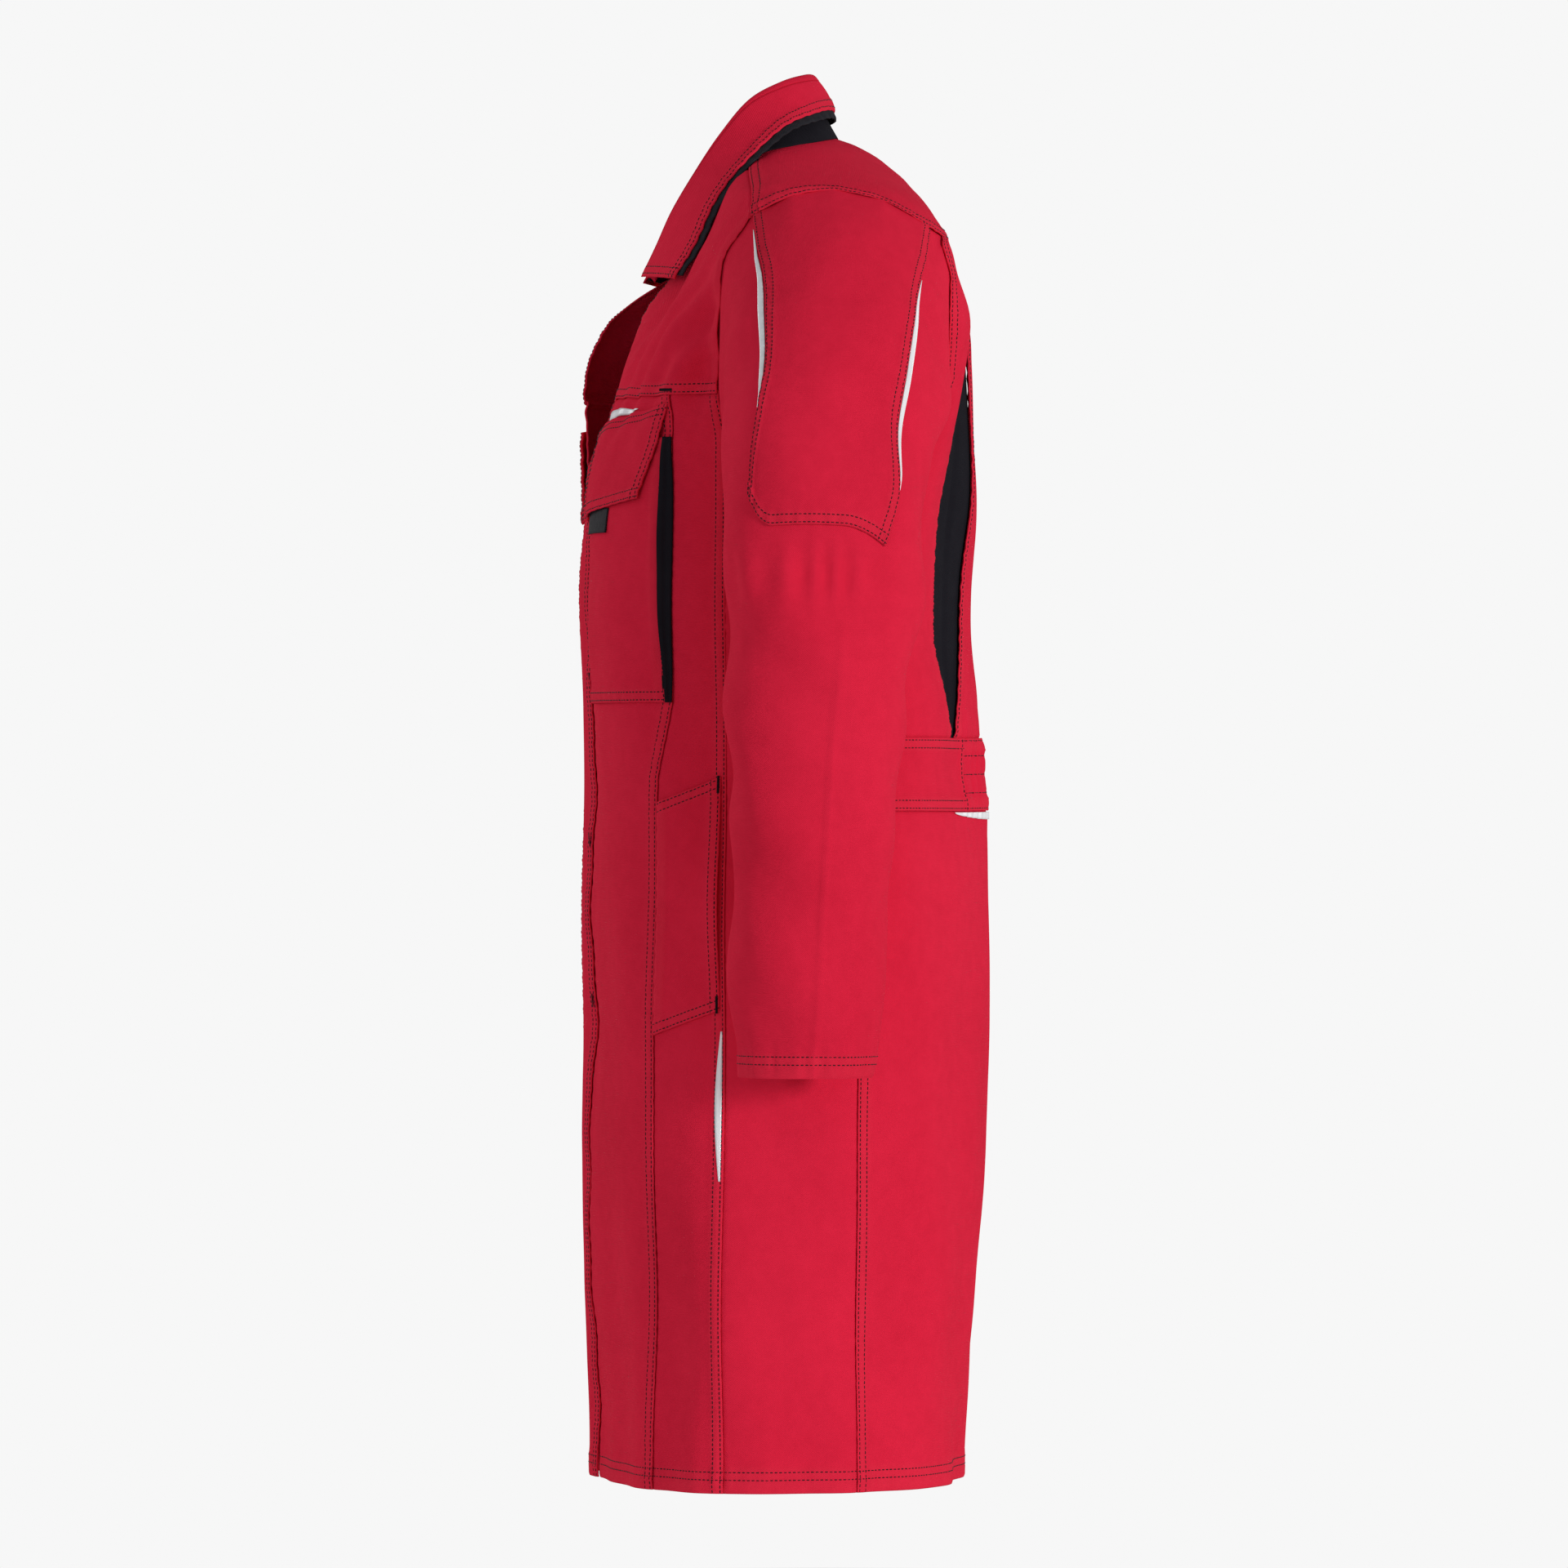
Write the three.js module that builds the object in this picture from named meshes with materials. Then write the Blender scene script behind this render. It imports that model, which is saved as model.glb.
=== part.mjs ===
// Long work coat in red twill with slate contrast pieces, standing open as if worn.
// Millimetres, +Z up. The coat's front faces -Y and the wearer's left is +X.
// The origin is at the centre back of the neck seam, where the hanging loop is sewn.

import * as THREE from 'three';
import { mergeVertices } from 'three/addons/utils/BufferGeometryUtils.js';

// ---------- driving dimensions ----------

const BACK_LENGTH = 1056;        // neck seam to hem
const HEM_HALF_WIDTH = 241;
const HIP_HALF_WIDTH = 232;
const WAIST_HALF_WIDTH = 213;
const CHEST_HALF_WIDTH = 220;
const SHOULDER_HALF_WIDTH = 212;
const SHOULDER_DROP = 54;        // neck seam down to the shoulder point
const CHEST_FRONT = -188;        // how far the chest stands forward
const BACK_REACH = 113.5;        // how far the back stands out behind

const ARMHOLE_HALF_HEIGHT = 122;
const ARMHOLE_HALF_DEPTH = 90;
const ARMHOLE_CENTRE_Y = 3.5;
const SLEEVE_DROP = 735;         // neck seam down to the cuff edge
const UPPER_SLEEVE_HALF_DEPTH = 78;
const CUFF_HALF_DEPTH = 52.5;
const CUFF_HALF_WIDTH = 46;

const CLOTH = 2.4;               // one panel with its seam allowances
const TRIM = 1.4;                // tape, piping and facing strips
const SEAM_GAP = 0.7;            // between panels sewn edge to edge
const LAYER_GAP = 1.0;           // between layers sewn face to face

const SEAT_DROP = 686;           // lower end of the slanted side pocket
const WAIST_TOP = 476;
const WAIST_BOTTOM = 533;
const YOKE_DROP = 95;            // lower edge of the back yoke
const CHEST_SEAM_DROP = 212;     // seam across the chest, above the pocket flap
const POCKET_TOP = 236;
const POCKET_BOTTOM = 449;
const FLAP_DEPTH = 66;
const SKIRT_OPENS_AT = 506;      // the left front hangs free below this
const SIDE_POCKET_TOP = 506;
const SIDE_POCKET_SLANT = 20;
const SIDE_PIPING_TOP = 702;
const SIDE_PIPING_LENGTH = 115;
const FRONT_OVERLAP = 24;        // the left front reaches this far past the middle
const FLY_WIDTH = 55;
const STUD_PITCH = 126;
const FIRST_STUD = 364;
const STUD_COUNT = 4;
const STUD_RADIUS = 7;

const SIDE_FRONT_Y = -81;
const SIDE_BACK_Y = 21;

// ---------- materials ----------

function cloth(color, roughness) {
  return new THREE.MeshStandardMaterial({ color, roughness, metalness: 0 });
}
const red = () => cloth(0xc8172f, 0.85);
const black = () => cloth(0x1b1d22, 0.85);
const reflective = () => cloth(0xdfe3e8, 0.45);
const steel = () => new THREE.MeshStandardMaterial({ color: 0x8a8c90, roughness: 0.35, metalness: 1 });

// ---------- the coat's form ----------

// drop, front, back, half width, roundness of the front and of the back (2 is an ellipse),
// lapel prow, extra roll of the right lapel
const FORM = [
  [0, -66, 2, 52, 2.0, 2.0, 0, 0],
  [9, -74, 22, 72, 2.0, 2.0, 0, 0],
  [18, -80, 38, 104, 2.0, 2.0, 0, 0],
  [27, -84, 49, 132, 2.0, 2.1, 1, 0],
  [36, -88, 59, 160, 2.1, 2.3, 3, 0],
  [45, -89, 66, 188, 2.3, 2.6, 6, 0],
  [SHOULDER_DROP, -89, 73, SHOULDER_HALF_WIDTH, 2.6, 3.0, 9, 0],
  [75, -94, 85, CHEST_HALF_WIDTH, 3.3, 4.5, 15, 1],
  [99, -104, 93, CHEST_HALF_WIDTH + 1, 3.7, 6.0, 21, 6],
  [118, -113, 97, CHEST_HALF_WIDTH + 1, 3.6, 6.4, 23, 14],
  [150, -132, 108, CHEST_HALF_WIDTH, 3.2, 6.0, 15, 29],
  [181, -150, 110, CHEST_HALF_WIDTH - 2, 2.9, 5.0, 8, 34],
  [236, -172, 112, CHEST_HALF_WIDTH - 5, 2.4, 3.8, 4, 16],
  [290, CHEST_FRONT, BACK_REACH, CHEST_HALF_WIDTH - 8, 2.3, 3.0, 0, 2],
  [358, CHEST_FRONT - 8, BACK_REACH - 2.5, WAIST_HALF_WIDTH - 1, 2.2, 2.6, 0, 0],
  [450, CHEST_FRONT - 5, BACK_REACH + 1.5, WAIST_HALF_WIDTH, 2.2, 2.3, 0, 0],
  [505, CHEST_FRONT - 4, BACK_REACH + 7.5, WAIST_HALF_WIDTH + 2, 2.2, 2.2, 0, 0],
  [590, CHEST_FRONT - 5.5, BACK_REACH + 11, HIP_HALF_WIDTH - 10, 2.2, 2.2, 0, 0],
  [735, CHEST_FRONT - 6, BACK_REACH + 9.5, HIP_HALF_WIDTH, 2.2, 2.2, 0, 0],
  [900, CHEST_FRONT - 2, BACK_REACH + 3.5, HEM_HALF_WIDTH - 3, 2.2, 2.2, 0, 0],
  [BACK_LENGTH, CHEST_FRONT + 1.5, BACK_REACH - 6.5, HEM_HALF_WIDTH, 2.2, 2.2, 0, 0],
];

// a smooth function through the rows of a table, read by its first column
function smoothTable(rows) {
  const size = rows[0].length - 1;
  const keys = rows.map((row) => row[0]);
  const curve = new THREE.CubicInterpolant(keys, rows.flatMap((row) => row.slice(1)), size);
  const last = keys[keys.length - 1];
  return (key) => Array.from(curve.evaluate(THREE.MathUtils.clamp(key, keys[0], last)));
}

// a straight-lined function through pairs of drop and value
function byDrop(pairs) {
  const curve = new THREE.LinearInterpolant(pairs.map((p) => p[0]), pairs.map((p) => p[1]), 1);
  const last = pairs[pairs.length - 1][0];
  return (drop) => curve.evaluate(THREE.MathUtils.clamp(drop, pairs[0][0], last))[0];
}

const formAt = smoothTable(FORM);
const PROW_FLAT = 42;
const PROW_END = 105;
const ROLL_SPREAD = 20;
const signedPower = (value, power) => Math.sign(value) * Math.abs(value) ** power;

// angle 0 is the middle front, a quarter turn is the wearer's left side, half a turn the middle back
function onForm(angle, drop) {
  const [front, back, half, frontRound, backRound, prow, roll] = formAt(drop);
  const roundness = Math.cos(angle) > 0 ? frontRound : backRound;
  const middle = (front + back) / 2;
  const depth = (back - front) / 2;
  const x = half * signedPower(Math.sin(angle), 2 / roundness);
  const y = middle - depth * signedPower(Math.cos(angle), 2 / roundness);
  const fade = 1 - THREE.MathUtils.smoothstep(Math.abs(x), PROW_FLAT, PROW_END);
  const rolled = x < 0 ? roll * THREE.MathUtils.smoothstep(-x, -ROLL_SPREAD, ROLL_SPREAD) : 0;
  const lift = Math.cos(angle) > 0 ? (prow + rolled) * fade : 0;
  return new THREE.Vector3(x, y - lift, -drop);
}

const NUDGE = 0.004;
const DROP_NUDGE = 0.5;
function formNormal(angle, drop) {
  const around = onForm(angle + NUDGE, drop).sub(onForm(angle - NUDGE, drop));
  const up = onForm(angle, drop - DROP_NUDGE).sub(onForm(angle, drop + DROP_NUDGE));
  return around.cross(up).normalize();
}

function offForm(spot, out) {
  return onForm(spot.angle, spot.drop).addScaledVector(formNormal(spot.angle, spot.drop), out);
}

// spots on the form, named by a distance across (x) or front to back (y)
function angleAcross(x, half, roundness) {
  return Math.sign(x) * Math.asin(Math.min(1, Math.abs(x) / half) ** (roundness / 2));
}
function frontX(x, drop) {
  const [, , half, frontRound] = formAt(drop);
  return { angle: angleAcross(x, half, frontRound), drop };
}
function backX(x, drop) {
  const [, , half, , backRound] = formAt(drop);
  return { angle: Math.PI - angleAcross(x, half, backRound), drop };
}
function sideY(y, drop) {
  const [front, back, , frontRound, backRound] = formAt(drop);
  const share = THREE.MathUtils.clamp(((front + back) / 2 - y) / ((back - front) / 2), -1, 1);
  return { angle: Math.acos(signedPower(share, (share > 0 ? frontRound : backRound) / 2)), drop };
}
const mirrored = (spot) => ({ angle: -spot.angle, drop: spot.drop });

// moves a spot round the form by a distance in millimetres
const LEAST_PER_ANGLE = 20;
function slide(spot, distance) {
  const ahead = onForm(spot.angle + NUDGE, spot.drop);
  const behind = onForm(spot.angle - NUDGE, spot.drop);
  const perAngle = ahead.distanceTo(behind) / (2 * NUDGE);
  return { angle: spot.angle + distance / Math.max(perAngle, LEAST_PER_ANGLE), drop: spot.drop };
}

// ---------- making a sheet ----------

// bends a box with a grid of segments; place(across, along, outward) gives each corner, all from 0 to 1
function bentBox(across, along, place) {
  const box = new THREE.BoxGeometry(1, 1, 1, across, along, 1);
  const corner = box.attributes.position;
  for (let i = 0; i < corner.count; i++) {
    const p = place(corner.getX(i) + 0.5, corner.getY(i) + 0.5, corner.getZ(i) + 0.5);
    corner.setXYZ(i, p.x, p.y, p.z);
  }
  box.deleteAttribute('normal');
  box.deleteAttribute('uv');
  return mergeVertices(box, 1e-4);
}

function readRail(rail, share) {
  const at = share * (rail.length - 1);
  const from = Math.min(Math.floor(at), rail.length - 2);
  return [rail[from], rail[from + 1], at - from];
}

function between(a, b, share) {
  return {
    angle: THREE.MathUtils.lerp(a.angle, b.angle, share),
    drop: THREE.MathUtils.lerp(a.drop, b.drop, share),
  };
}

function spotOnRail(rail, share) {
  const [a, b, part] = readRail(rail, share);
  return between(a, b, part);
}

const group = new THREE.Group();

function addMesh(name, geometry, material) {
  const mesh = new THREE.Mesh(geometry, material);
  mesh.name = name;
  group.add(mesh);
  return mesh;
}

// a sheet on the form between two rails of spots, from its inner face to its outer face;
// lift(share) raises it off the form along the rails
function sheetBetween(railA, railB, across, inner, outer, lift = () => 0) {
  return bentBox(across, railA.length - 1, (u, v, w) => {
    const spot = between(spotOnRail(railA, v), spotOnRail(railB, v), u);
    return offForm(spot, THREE.MathUtils.lerp(inner, outer, w) + lift(v));
  });
}

// a panel of the coat: drops listed from its lower edge up, and the spot of each edge at a drop
function panel(name, material, drops, edgeA, edgeB, across, layer = {}) {
  const { inner = -CLOTH, outer = 0, side = 1, gap = SEAM_GAP } = layer;
  const last = drops.length - 1;
  const level = (drop, i) => drop + (i === 0 ? -gap / 2 : 0) + (i === last ? gap / 2 : 0);
  const near = drops.map((drop, i) => slide(edgeA(level(drop, i)), gap / 2));
  const far = drops.map((drop, i) => slide(edgeB(level(drop, i)), -gap / 2));
  const rails = side > 0 ? [near, far] : [far.map(mirrored), near.map(mirrored)];
  return addMesh(name, sheetBetween(rails[0], rails[1], across, inner, outer), material);
}

// the same piece for both sides of the coat
function bothSides(make) {
  make('left', 1);
  make('right', -1);
}

// how far out a layer starts, counted in layers of cloth sewn on the outside
const layerOut = (count, thickness, room = LAYER_GAP) => {
  const inner = room + (count - 1) * (CLOTH + LAYER_GAP);
  return { inner, outer: inner + thickness };
};

// ---------- seam lines of the body ----------

// rows of the side pocket and of its piping are rows of the panels around them too
const sidePocketRows = [SEAT_DROP, 663, 640, 615, 590, 570, 550, WAIST_BOTTOM, SIDE_POCKET_TOP];
const sidePipingRows = [1, 0.75, 0.5, 0.25, 0].map((share) => SIDE_PIPING_TOP + share * SIDE_PIPING_LENGTH);
const skirtDrops = [BACK_LENGTH, 960, 870, ...sidePipingRows, ...sidePocketRows.slice(0, -2)];
const waistDrops = [WAIST_BOTTOM, WAIST_TOP];
const chestDrops = [POCKET_BOTTOM, 400, 350, 300, 285, 270, 258, 250, POCKET_TOP, 224, CHEST_SEAM_DROP];

const princessY = byDrop([
  [CHEST_SEAM_DROP, -122], [POCKET_BOTTOM, -125], [SIDE_POCKET_TOP, -133], [SEAT_DROP, -137],
]);
const princess = (drop) => sideY(princessY(drop), drop);
const sideFront = (drop) => sideY(SIDE_FRONT_Y, drop);
const sideBack = (drop) => sideY(SIDE_BACK_Y, drop);

const leftEdgeX = byDrop([[CHEST_SEAM_DROP, 20], [POCKET_TOP, 10], [270, -12], [300, -FRONT_OVERLAP]]);
const leftEdge = (drop) => frontX(leftEdgeX(drop), drop);
const rightEdgeX = byDrop([[CHEST_SEAM_DROP, 30], [POCKET_TOP, 27], [300, FRONT_OVERLAP + SEAM_GAP]]);
const rightEdge = (drop) => frontX(rightEdgeX(drop), drop);

// the armhole's edge beside the side front, and the one beside the side back
const UNDERARM_DROP = 304;
const UNDERARM_FRONT_DROP = 245;
const ARMHOLE_FRONT_Y = -86.5;
const frontArmhole = byDrop([[CHEST_SEAM_DROP, ARMHOLE_FRONT_Y], [UNDERARM_FRONT_DROP, SIDE_FRONT_Y]]);
const backArmhole = byDrop([
  [98, 84], [120, 89], [200, 88], [250, 74], [285, 48], [UNDERARM_DROP, SIDE_BACK_Y],
]);

// ---------- yoke ----------

const neckline = [
  frontX(68, 118), frontX(82, 98), frontX(89, 72), frontX(88, 50), frontX(83, 35),
  { angle: 0.8, drop: 22 }, { angle: 1.15, drop: 14.5 }, { angle: 1.6, drop: 9.5 },
  { angle: 2.1, drop: 5 }, { angle: 2.65, drop: 1.5 }, { angle: Math.PI, drop: 0.5 },
];
const YOKE_NECK_START = 5;

const yokeNeck = neckline.slice(YOKE_NECK_START);
const yokeLow = [
  sideY(-62, 74.5), sideY(-30, 60), sideY(2, SHOULDER_DROP + 0.5), sideY(40, 63),
  sideY(72, 81), sideY(85, 91), backX(90, YOKE_DROP - 0.5), { angle: Math.PI, drop: YOKE_DROP },
];
const acrossBack = (spot) => ({ angle: 2 * Math.PI - spot.angle, drop: spot.drop });
const otherHalf = (half) => half.slice(0, -1).reverse().map(acrossBack);
const wholeRail = (half) => [...half, ...otherHalf(half)];
const denser = (rail, steps) => Array.from({ length: steps + 1 }, (_, i) => spotOnRail(rail, i / steps));

const YOKE_STEPS = 26;
const yokeHigh = denser(wholeRail(yokeNeck), YOKE_STEPS);
const yokeBottom = denser(wholeRail(yokeLow), YOKE_STEPS);
addMesh('yoke', sheetBetween(yokeHigh, yokeBottom, 4, -CLOTH, 0), red());

// ---------- back ----------

const PLEAT_INNER_X = byDrop([[YOKE_DROP, 92], [200, 86], [300, 84], [400, 92], [WAIST_TOP, 108]]);
const PLEAT_OUTER_X = byDrop([[YOKE_DROP, 96], [200, 116], [300, 124], [400, 122], [WAIST_TOP, 112]]);
const backDrops = [WAIST_TOP, 430, 380, 330, UNDERARM_DROP, 285, 250, 200, 150, 120, YOKE_DROP + SEAM_GAP];
const pleatInner = (drop) => backX(PLEAT_INNER_X(drop), drop);
const pleatOuter = (drop) => backX(PLEAT_OUTER_X(drop), drop);
const backSideEdge = (drop) => sideY(drop < UNDERARM_DROP ? backArmhole(drop) : SIDE_BACK_Y, drop);
const otherSide = (edge) => (drop) => acrossBack(edge(drop));

panel('back_panel', red(), backDrops, pleatInner, otherSide(pleatInner), 6);
const PLEAT_DEPTH = 1;
bothSides((side, sign) => {
  const sunk = { side: sign, inner: -CLOTH - PLEAT_DEPTH, outer: -PLEAT_DEPTH };
  panel(`action_pleat_${side}`, black(), backDrops, pleatOuter, pleatInner, 1, sunk);
  panel(`back_side_${side}`, red(), backDrops, backSideEdge, pleatOuter, 4, { side: sign });
});

const ELASTIC_HALF_X = 92;
const elasticEdge = (drop) => backX(ELASTIC_HALF_X, drop);
const ELASTIC_SWELL = 1;
const BAND_SWELL = 0.6;
const elasticLayer = { outer: ELASTIC_SWELL };
panel('waistband_elastic', red(), waistDrops, elasticEdge, otherSide(elasticEdge), 10, elasticLayer);
bothSides((side, sign) => {
  const band = { side: sign, outer: BAND_SWELL };
  panel(`waistband_${side}`, red(), waistDrops, sideBack, elasticEdge, 6, band);
});
panel('back_skirt', red(), [...skirtDrops, WAIST_BOTTOM], sideBack, otherSide(sideBack), 14);

const PIPING_DROP = WAIST_BOTTOM + 6;
const PIPING_WIDTH = 5;
const PIPING_HALF_X = 112;
const pipingEnd = (drop) => backX(PIPING_HALF_X, drop);
const pipingDrops = [PIPING_DROP + PIPING_WIDTH - 1, PIPING_DROP - 1];
panel('waist_piping', reflective(), pipingDrops, pipingEnd, otherSide(pipingEnd), 14, layerOut(1, TRIM));

// ---------- sides and fronts ----------

const underarmCurve = (share) => ({
  angle: THREE.MathUtils.lerp(sideFront(UNDERARM_FRONT_DROP).angle, sideBack(UNDERARM_DROP).angle, share),
  drop: THREE.MathUtils.lerp(UNDERARM_FRONT_DROP, UNDERARM_DROP, Math.sin((share * Math.PI) / 2)),
});

bothSides((side, sign) => {
  // the side panel's upper edge follows the underarm
  const drops = [...skirtDrops, WAIST_BOTTOM, WAIST_TOP, 430, 380, 340, UNDERARM_DROP];
  const geometry = bentBox(5, drops.length - 1, (u, v, w) => {
    const row = Math.round(v * (drops.length - 1));
    const left = slide(sideFront(drops[row]), SEAM_GAP / 2);
    const right = slide(sideBack(drops[row]), -SEAM_GAP / 2);
    const level = { angle: THREE.MathUtils.lerp(left.angle, right.angle, u), drop: drops[row] };
    const top = row === drops.length - 1 ? underarmCurve(u).drop + SEAM_GAP : drops[row];
    return offForm({ angle: level.angle, drop: top }, THREE.MathUtils.lerp(-CLOTH, 0, w));
  });
  if (sign < 0) mirrorAcross(geometry);
  addMesh(`side_panel_${side}`, geometry, red());

  const frontDrops = [...skirtDrops, WAIST_BOTTOM, SIDE_POCKET_TOP, ...chestDrops];
  const sideEdge = (drop) => sideY(frontArmhole(drop), drop);
  panel(`front_side_${side}`, red(), frontDrops, princess, sideEdge, 3, { side: sign });
});

// swaps left for right and turns the faces out again
function mirrorAcross(geometry) {
  geometry.scale(-1, 1, 1);
  const index = geometry.index;
  for (let i = 0; i < index.count; i += 3) {
    const first = index.getX(i);
    index.setX(i, index.getX(i + 1));
    index.setX(i + 1, first);
  }
}

panel('front_centre_left', red(), [SKIRT_OPENS_AT, ...chestDrops], leftEdge, princess, 12);
panel('front_skirt_left', red(), [...skirtDrops, WAIST_BOTTOM, SKIRT_OPENS_AT], leftEdge, princess, 9);
const rightDrops = [...skirtDrops, WAIST_BOTTOM, SKIRT_OPENS_AT, ...chestDrops];
panel('front_centre_right', red(), rightDrops, rightEdge, princess, 12, { side: -1 });

// upper fronts: from the neck opening to the armhole, up to the yoke seam
function upperFront(side, sign, edgeX) {
  const lowest = CHEST_SEAM_DROP - SEAM_GAP / 2;
  const opening = [
    frontX(edgeX(CHEST_SEAM_DROP), lowest), frontX(34, 181), frontX(42, 150),
    ...neckline.slice(0, YOKE_NECK_START + 1),
  ];
  const armhole = [
    sideY(ARMHOLE_FRONT_Y, lowest), sideY(ARMHOLE_FRONT_Y, 181), sideY(ARMHOLE_FRONT_Y, 150),
    sideY(-85, 125), sideY(-83, 112), sideY(-80.5, 102), sideY(-76, 94), sideY(-70, 86), sideY(-64.5, 78),
  ].map((spot) => slide(spot, -SEAM_GAP));
  const high = { ...opening[opening.length - 1], angle: yokeNeck[0].angle - 0.03 };
  opening[opening.length - 1] = high;
  const rails = sign > 0 ? [opening, armhole] : [armhole.map(mirrored), opening.map(mirrored)];
  addMesh(`front_upper_${side}`, sheetBetween(rails[0], rails[1], 8, -CLOTH, 0), red());
}
upperFront('left', 1, leftEdgeX);
upperFront('right', -1, rightEdgeX);

// ---------- concealed fly ----------

const UNDER_ONE = { inner: -CLOTH - LAYER_GAP - TRIM, outer: -CLOTH - LAYER_GAP };
const STUD_SPACE = 4.4;
const underlapTop = UNDER_ONE.inner - STUD_SPACE;
const UNDER_TWO = { inner: underlapTop - TRIM, outer: underlapTop };
const flyStart = (drop) => frontX(-FRONT_OVERLAP + 1, drop);
const flyEnd = (drop) => frontX(FLY_WIDTH - FRONT_OVERLAP, drop);
const underlapStart = (drop) => frontX(-FRONT_OVERLAP - 30, drop);
const underlapEnd = (drop) => frontX(FRONT_OVERLAP, drop);
const FLY_SHORT = 8;
const flyDrops = [SKIRT_OPENS_AT, POCKET_BOTTOM, 400, 380, FIRST_STUD, 340, 310];
panel('fly_strip_left', red(), flyDrops, flyStart, flyEnd, 3, UNDER_ONE);
const skirtFlyDrops = [BACK_LENGTH - FLY_SHORT, ...skirtDrops.slice(1), SKIRT_OPENS_AT];
panel('skirt_fly_strip_left', red(), skirtFlyDrops, flyStart, flyEnd, 3, UNDER_ONE);
const underlapDrops = [...skirtFlyDrops, POCKET_BOTTOM, 400, 350, 310];
panel('underlap_right', red(), underlapDrops, underlapStart, underlapEnd, 3, UNDER_TWO);

// press studs: a socket on the left fly and a ball stud on the right underlap
const STUD_SIDES = 10;
const SOCKET_HEIGHT = 1.2;
const BALL_HEIGHT = 1.2;
const STUD_CLEAR = 0.6;
for (let i = 0; i < STUD_COUNT; i++) {
  const drop = FIRST_STUD + i * STUD_PITCH;
  const spot = frontX(0, drop);
  const outward = formNormal(spot.angle, drop);
  const turn = new THREE.Quaternion().setFromUnitVectors(new THREE.Vector3(0, 1, 0), outward);
  const halves = [
    ['stud_socket', UNDER_ONE.inner - STUD_CLEAR - SOCKET_HEIGHT / 2, SOCKET_HEIGHT, STUD_RADIUS],
    ['stud_ball', UNDER_TWO.outer + STUD_CLEAR + BALL_HEIGHT / 2, BALL_HEIGHT, STUD_RADIUS - 1],
  ];
  for (const [name, out, height, radius] of halves) {
    const disc = new THREE.CylinderGeometry(radius, radius, height, STUD_SIDES);
    const mesh = addMesh(`${name}_${i + 1}`, disc, steel());
    mesh.quaternion.copy(turn);
    mesh.position.copy(offForm(spot, out));
  }
}

// ---------- chest pockets ----------

const POCKET_FRONT_X = 46;
const FLAP_FRONT_X = 36;
const BELLOWS_WIDTH = 13;
const BELLOWS_ROOM = 2.4;
const BELLOWS_SWELL = 4;
const TAPE_GAP = 0.9;
const FLAP_SEAT = 1.45;
const pocketFront = (drop) => frontX(POCKET_FRONT_X, drop);
const pocketBack = (drop) => slide(princess(drop), -BELLOWS_WIDTH);
const pocketDrops = [POCKET_BOTTOM, 400, 350, 300, 285, 270, 258, POCKET_TOP + 10];
const FLAP_TOP = CHEST_SEAM_DROP + 6;
const FLAP_SLANT = 15;
const FLAP_SPREAD = 8;
const FLAP_RISE_DEPTH = 20;
const POCKET_FACE = BELLOWS_ROOM + CLOTH;
const FLAP_FACE = POCKET_FACE + TRIM + 2 * TAPE_GAP;
const TAB_FRONT_X = 62;
const TAB_WIDTH = 38;
const TAB_SHOWS = 10;
const TAB_HIDDEN = 16;
const INSERT_WIDTH = 5;
const INSERT_SHARE = 0.55;
const INSERT_PARTS = 7;

// the flap's upper edge rises towards the armhole; share 0 is its front corner
const flapSpot = (share, depth) => {
  const low = frontX(FLAP_FRONT_X, FLAP_TOP + FLAP_SLANT + depth);
  const high = slide(princess(FLAP_TOP + depth), -1);
  return between(low, high, share);
};

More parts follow.
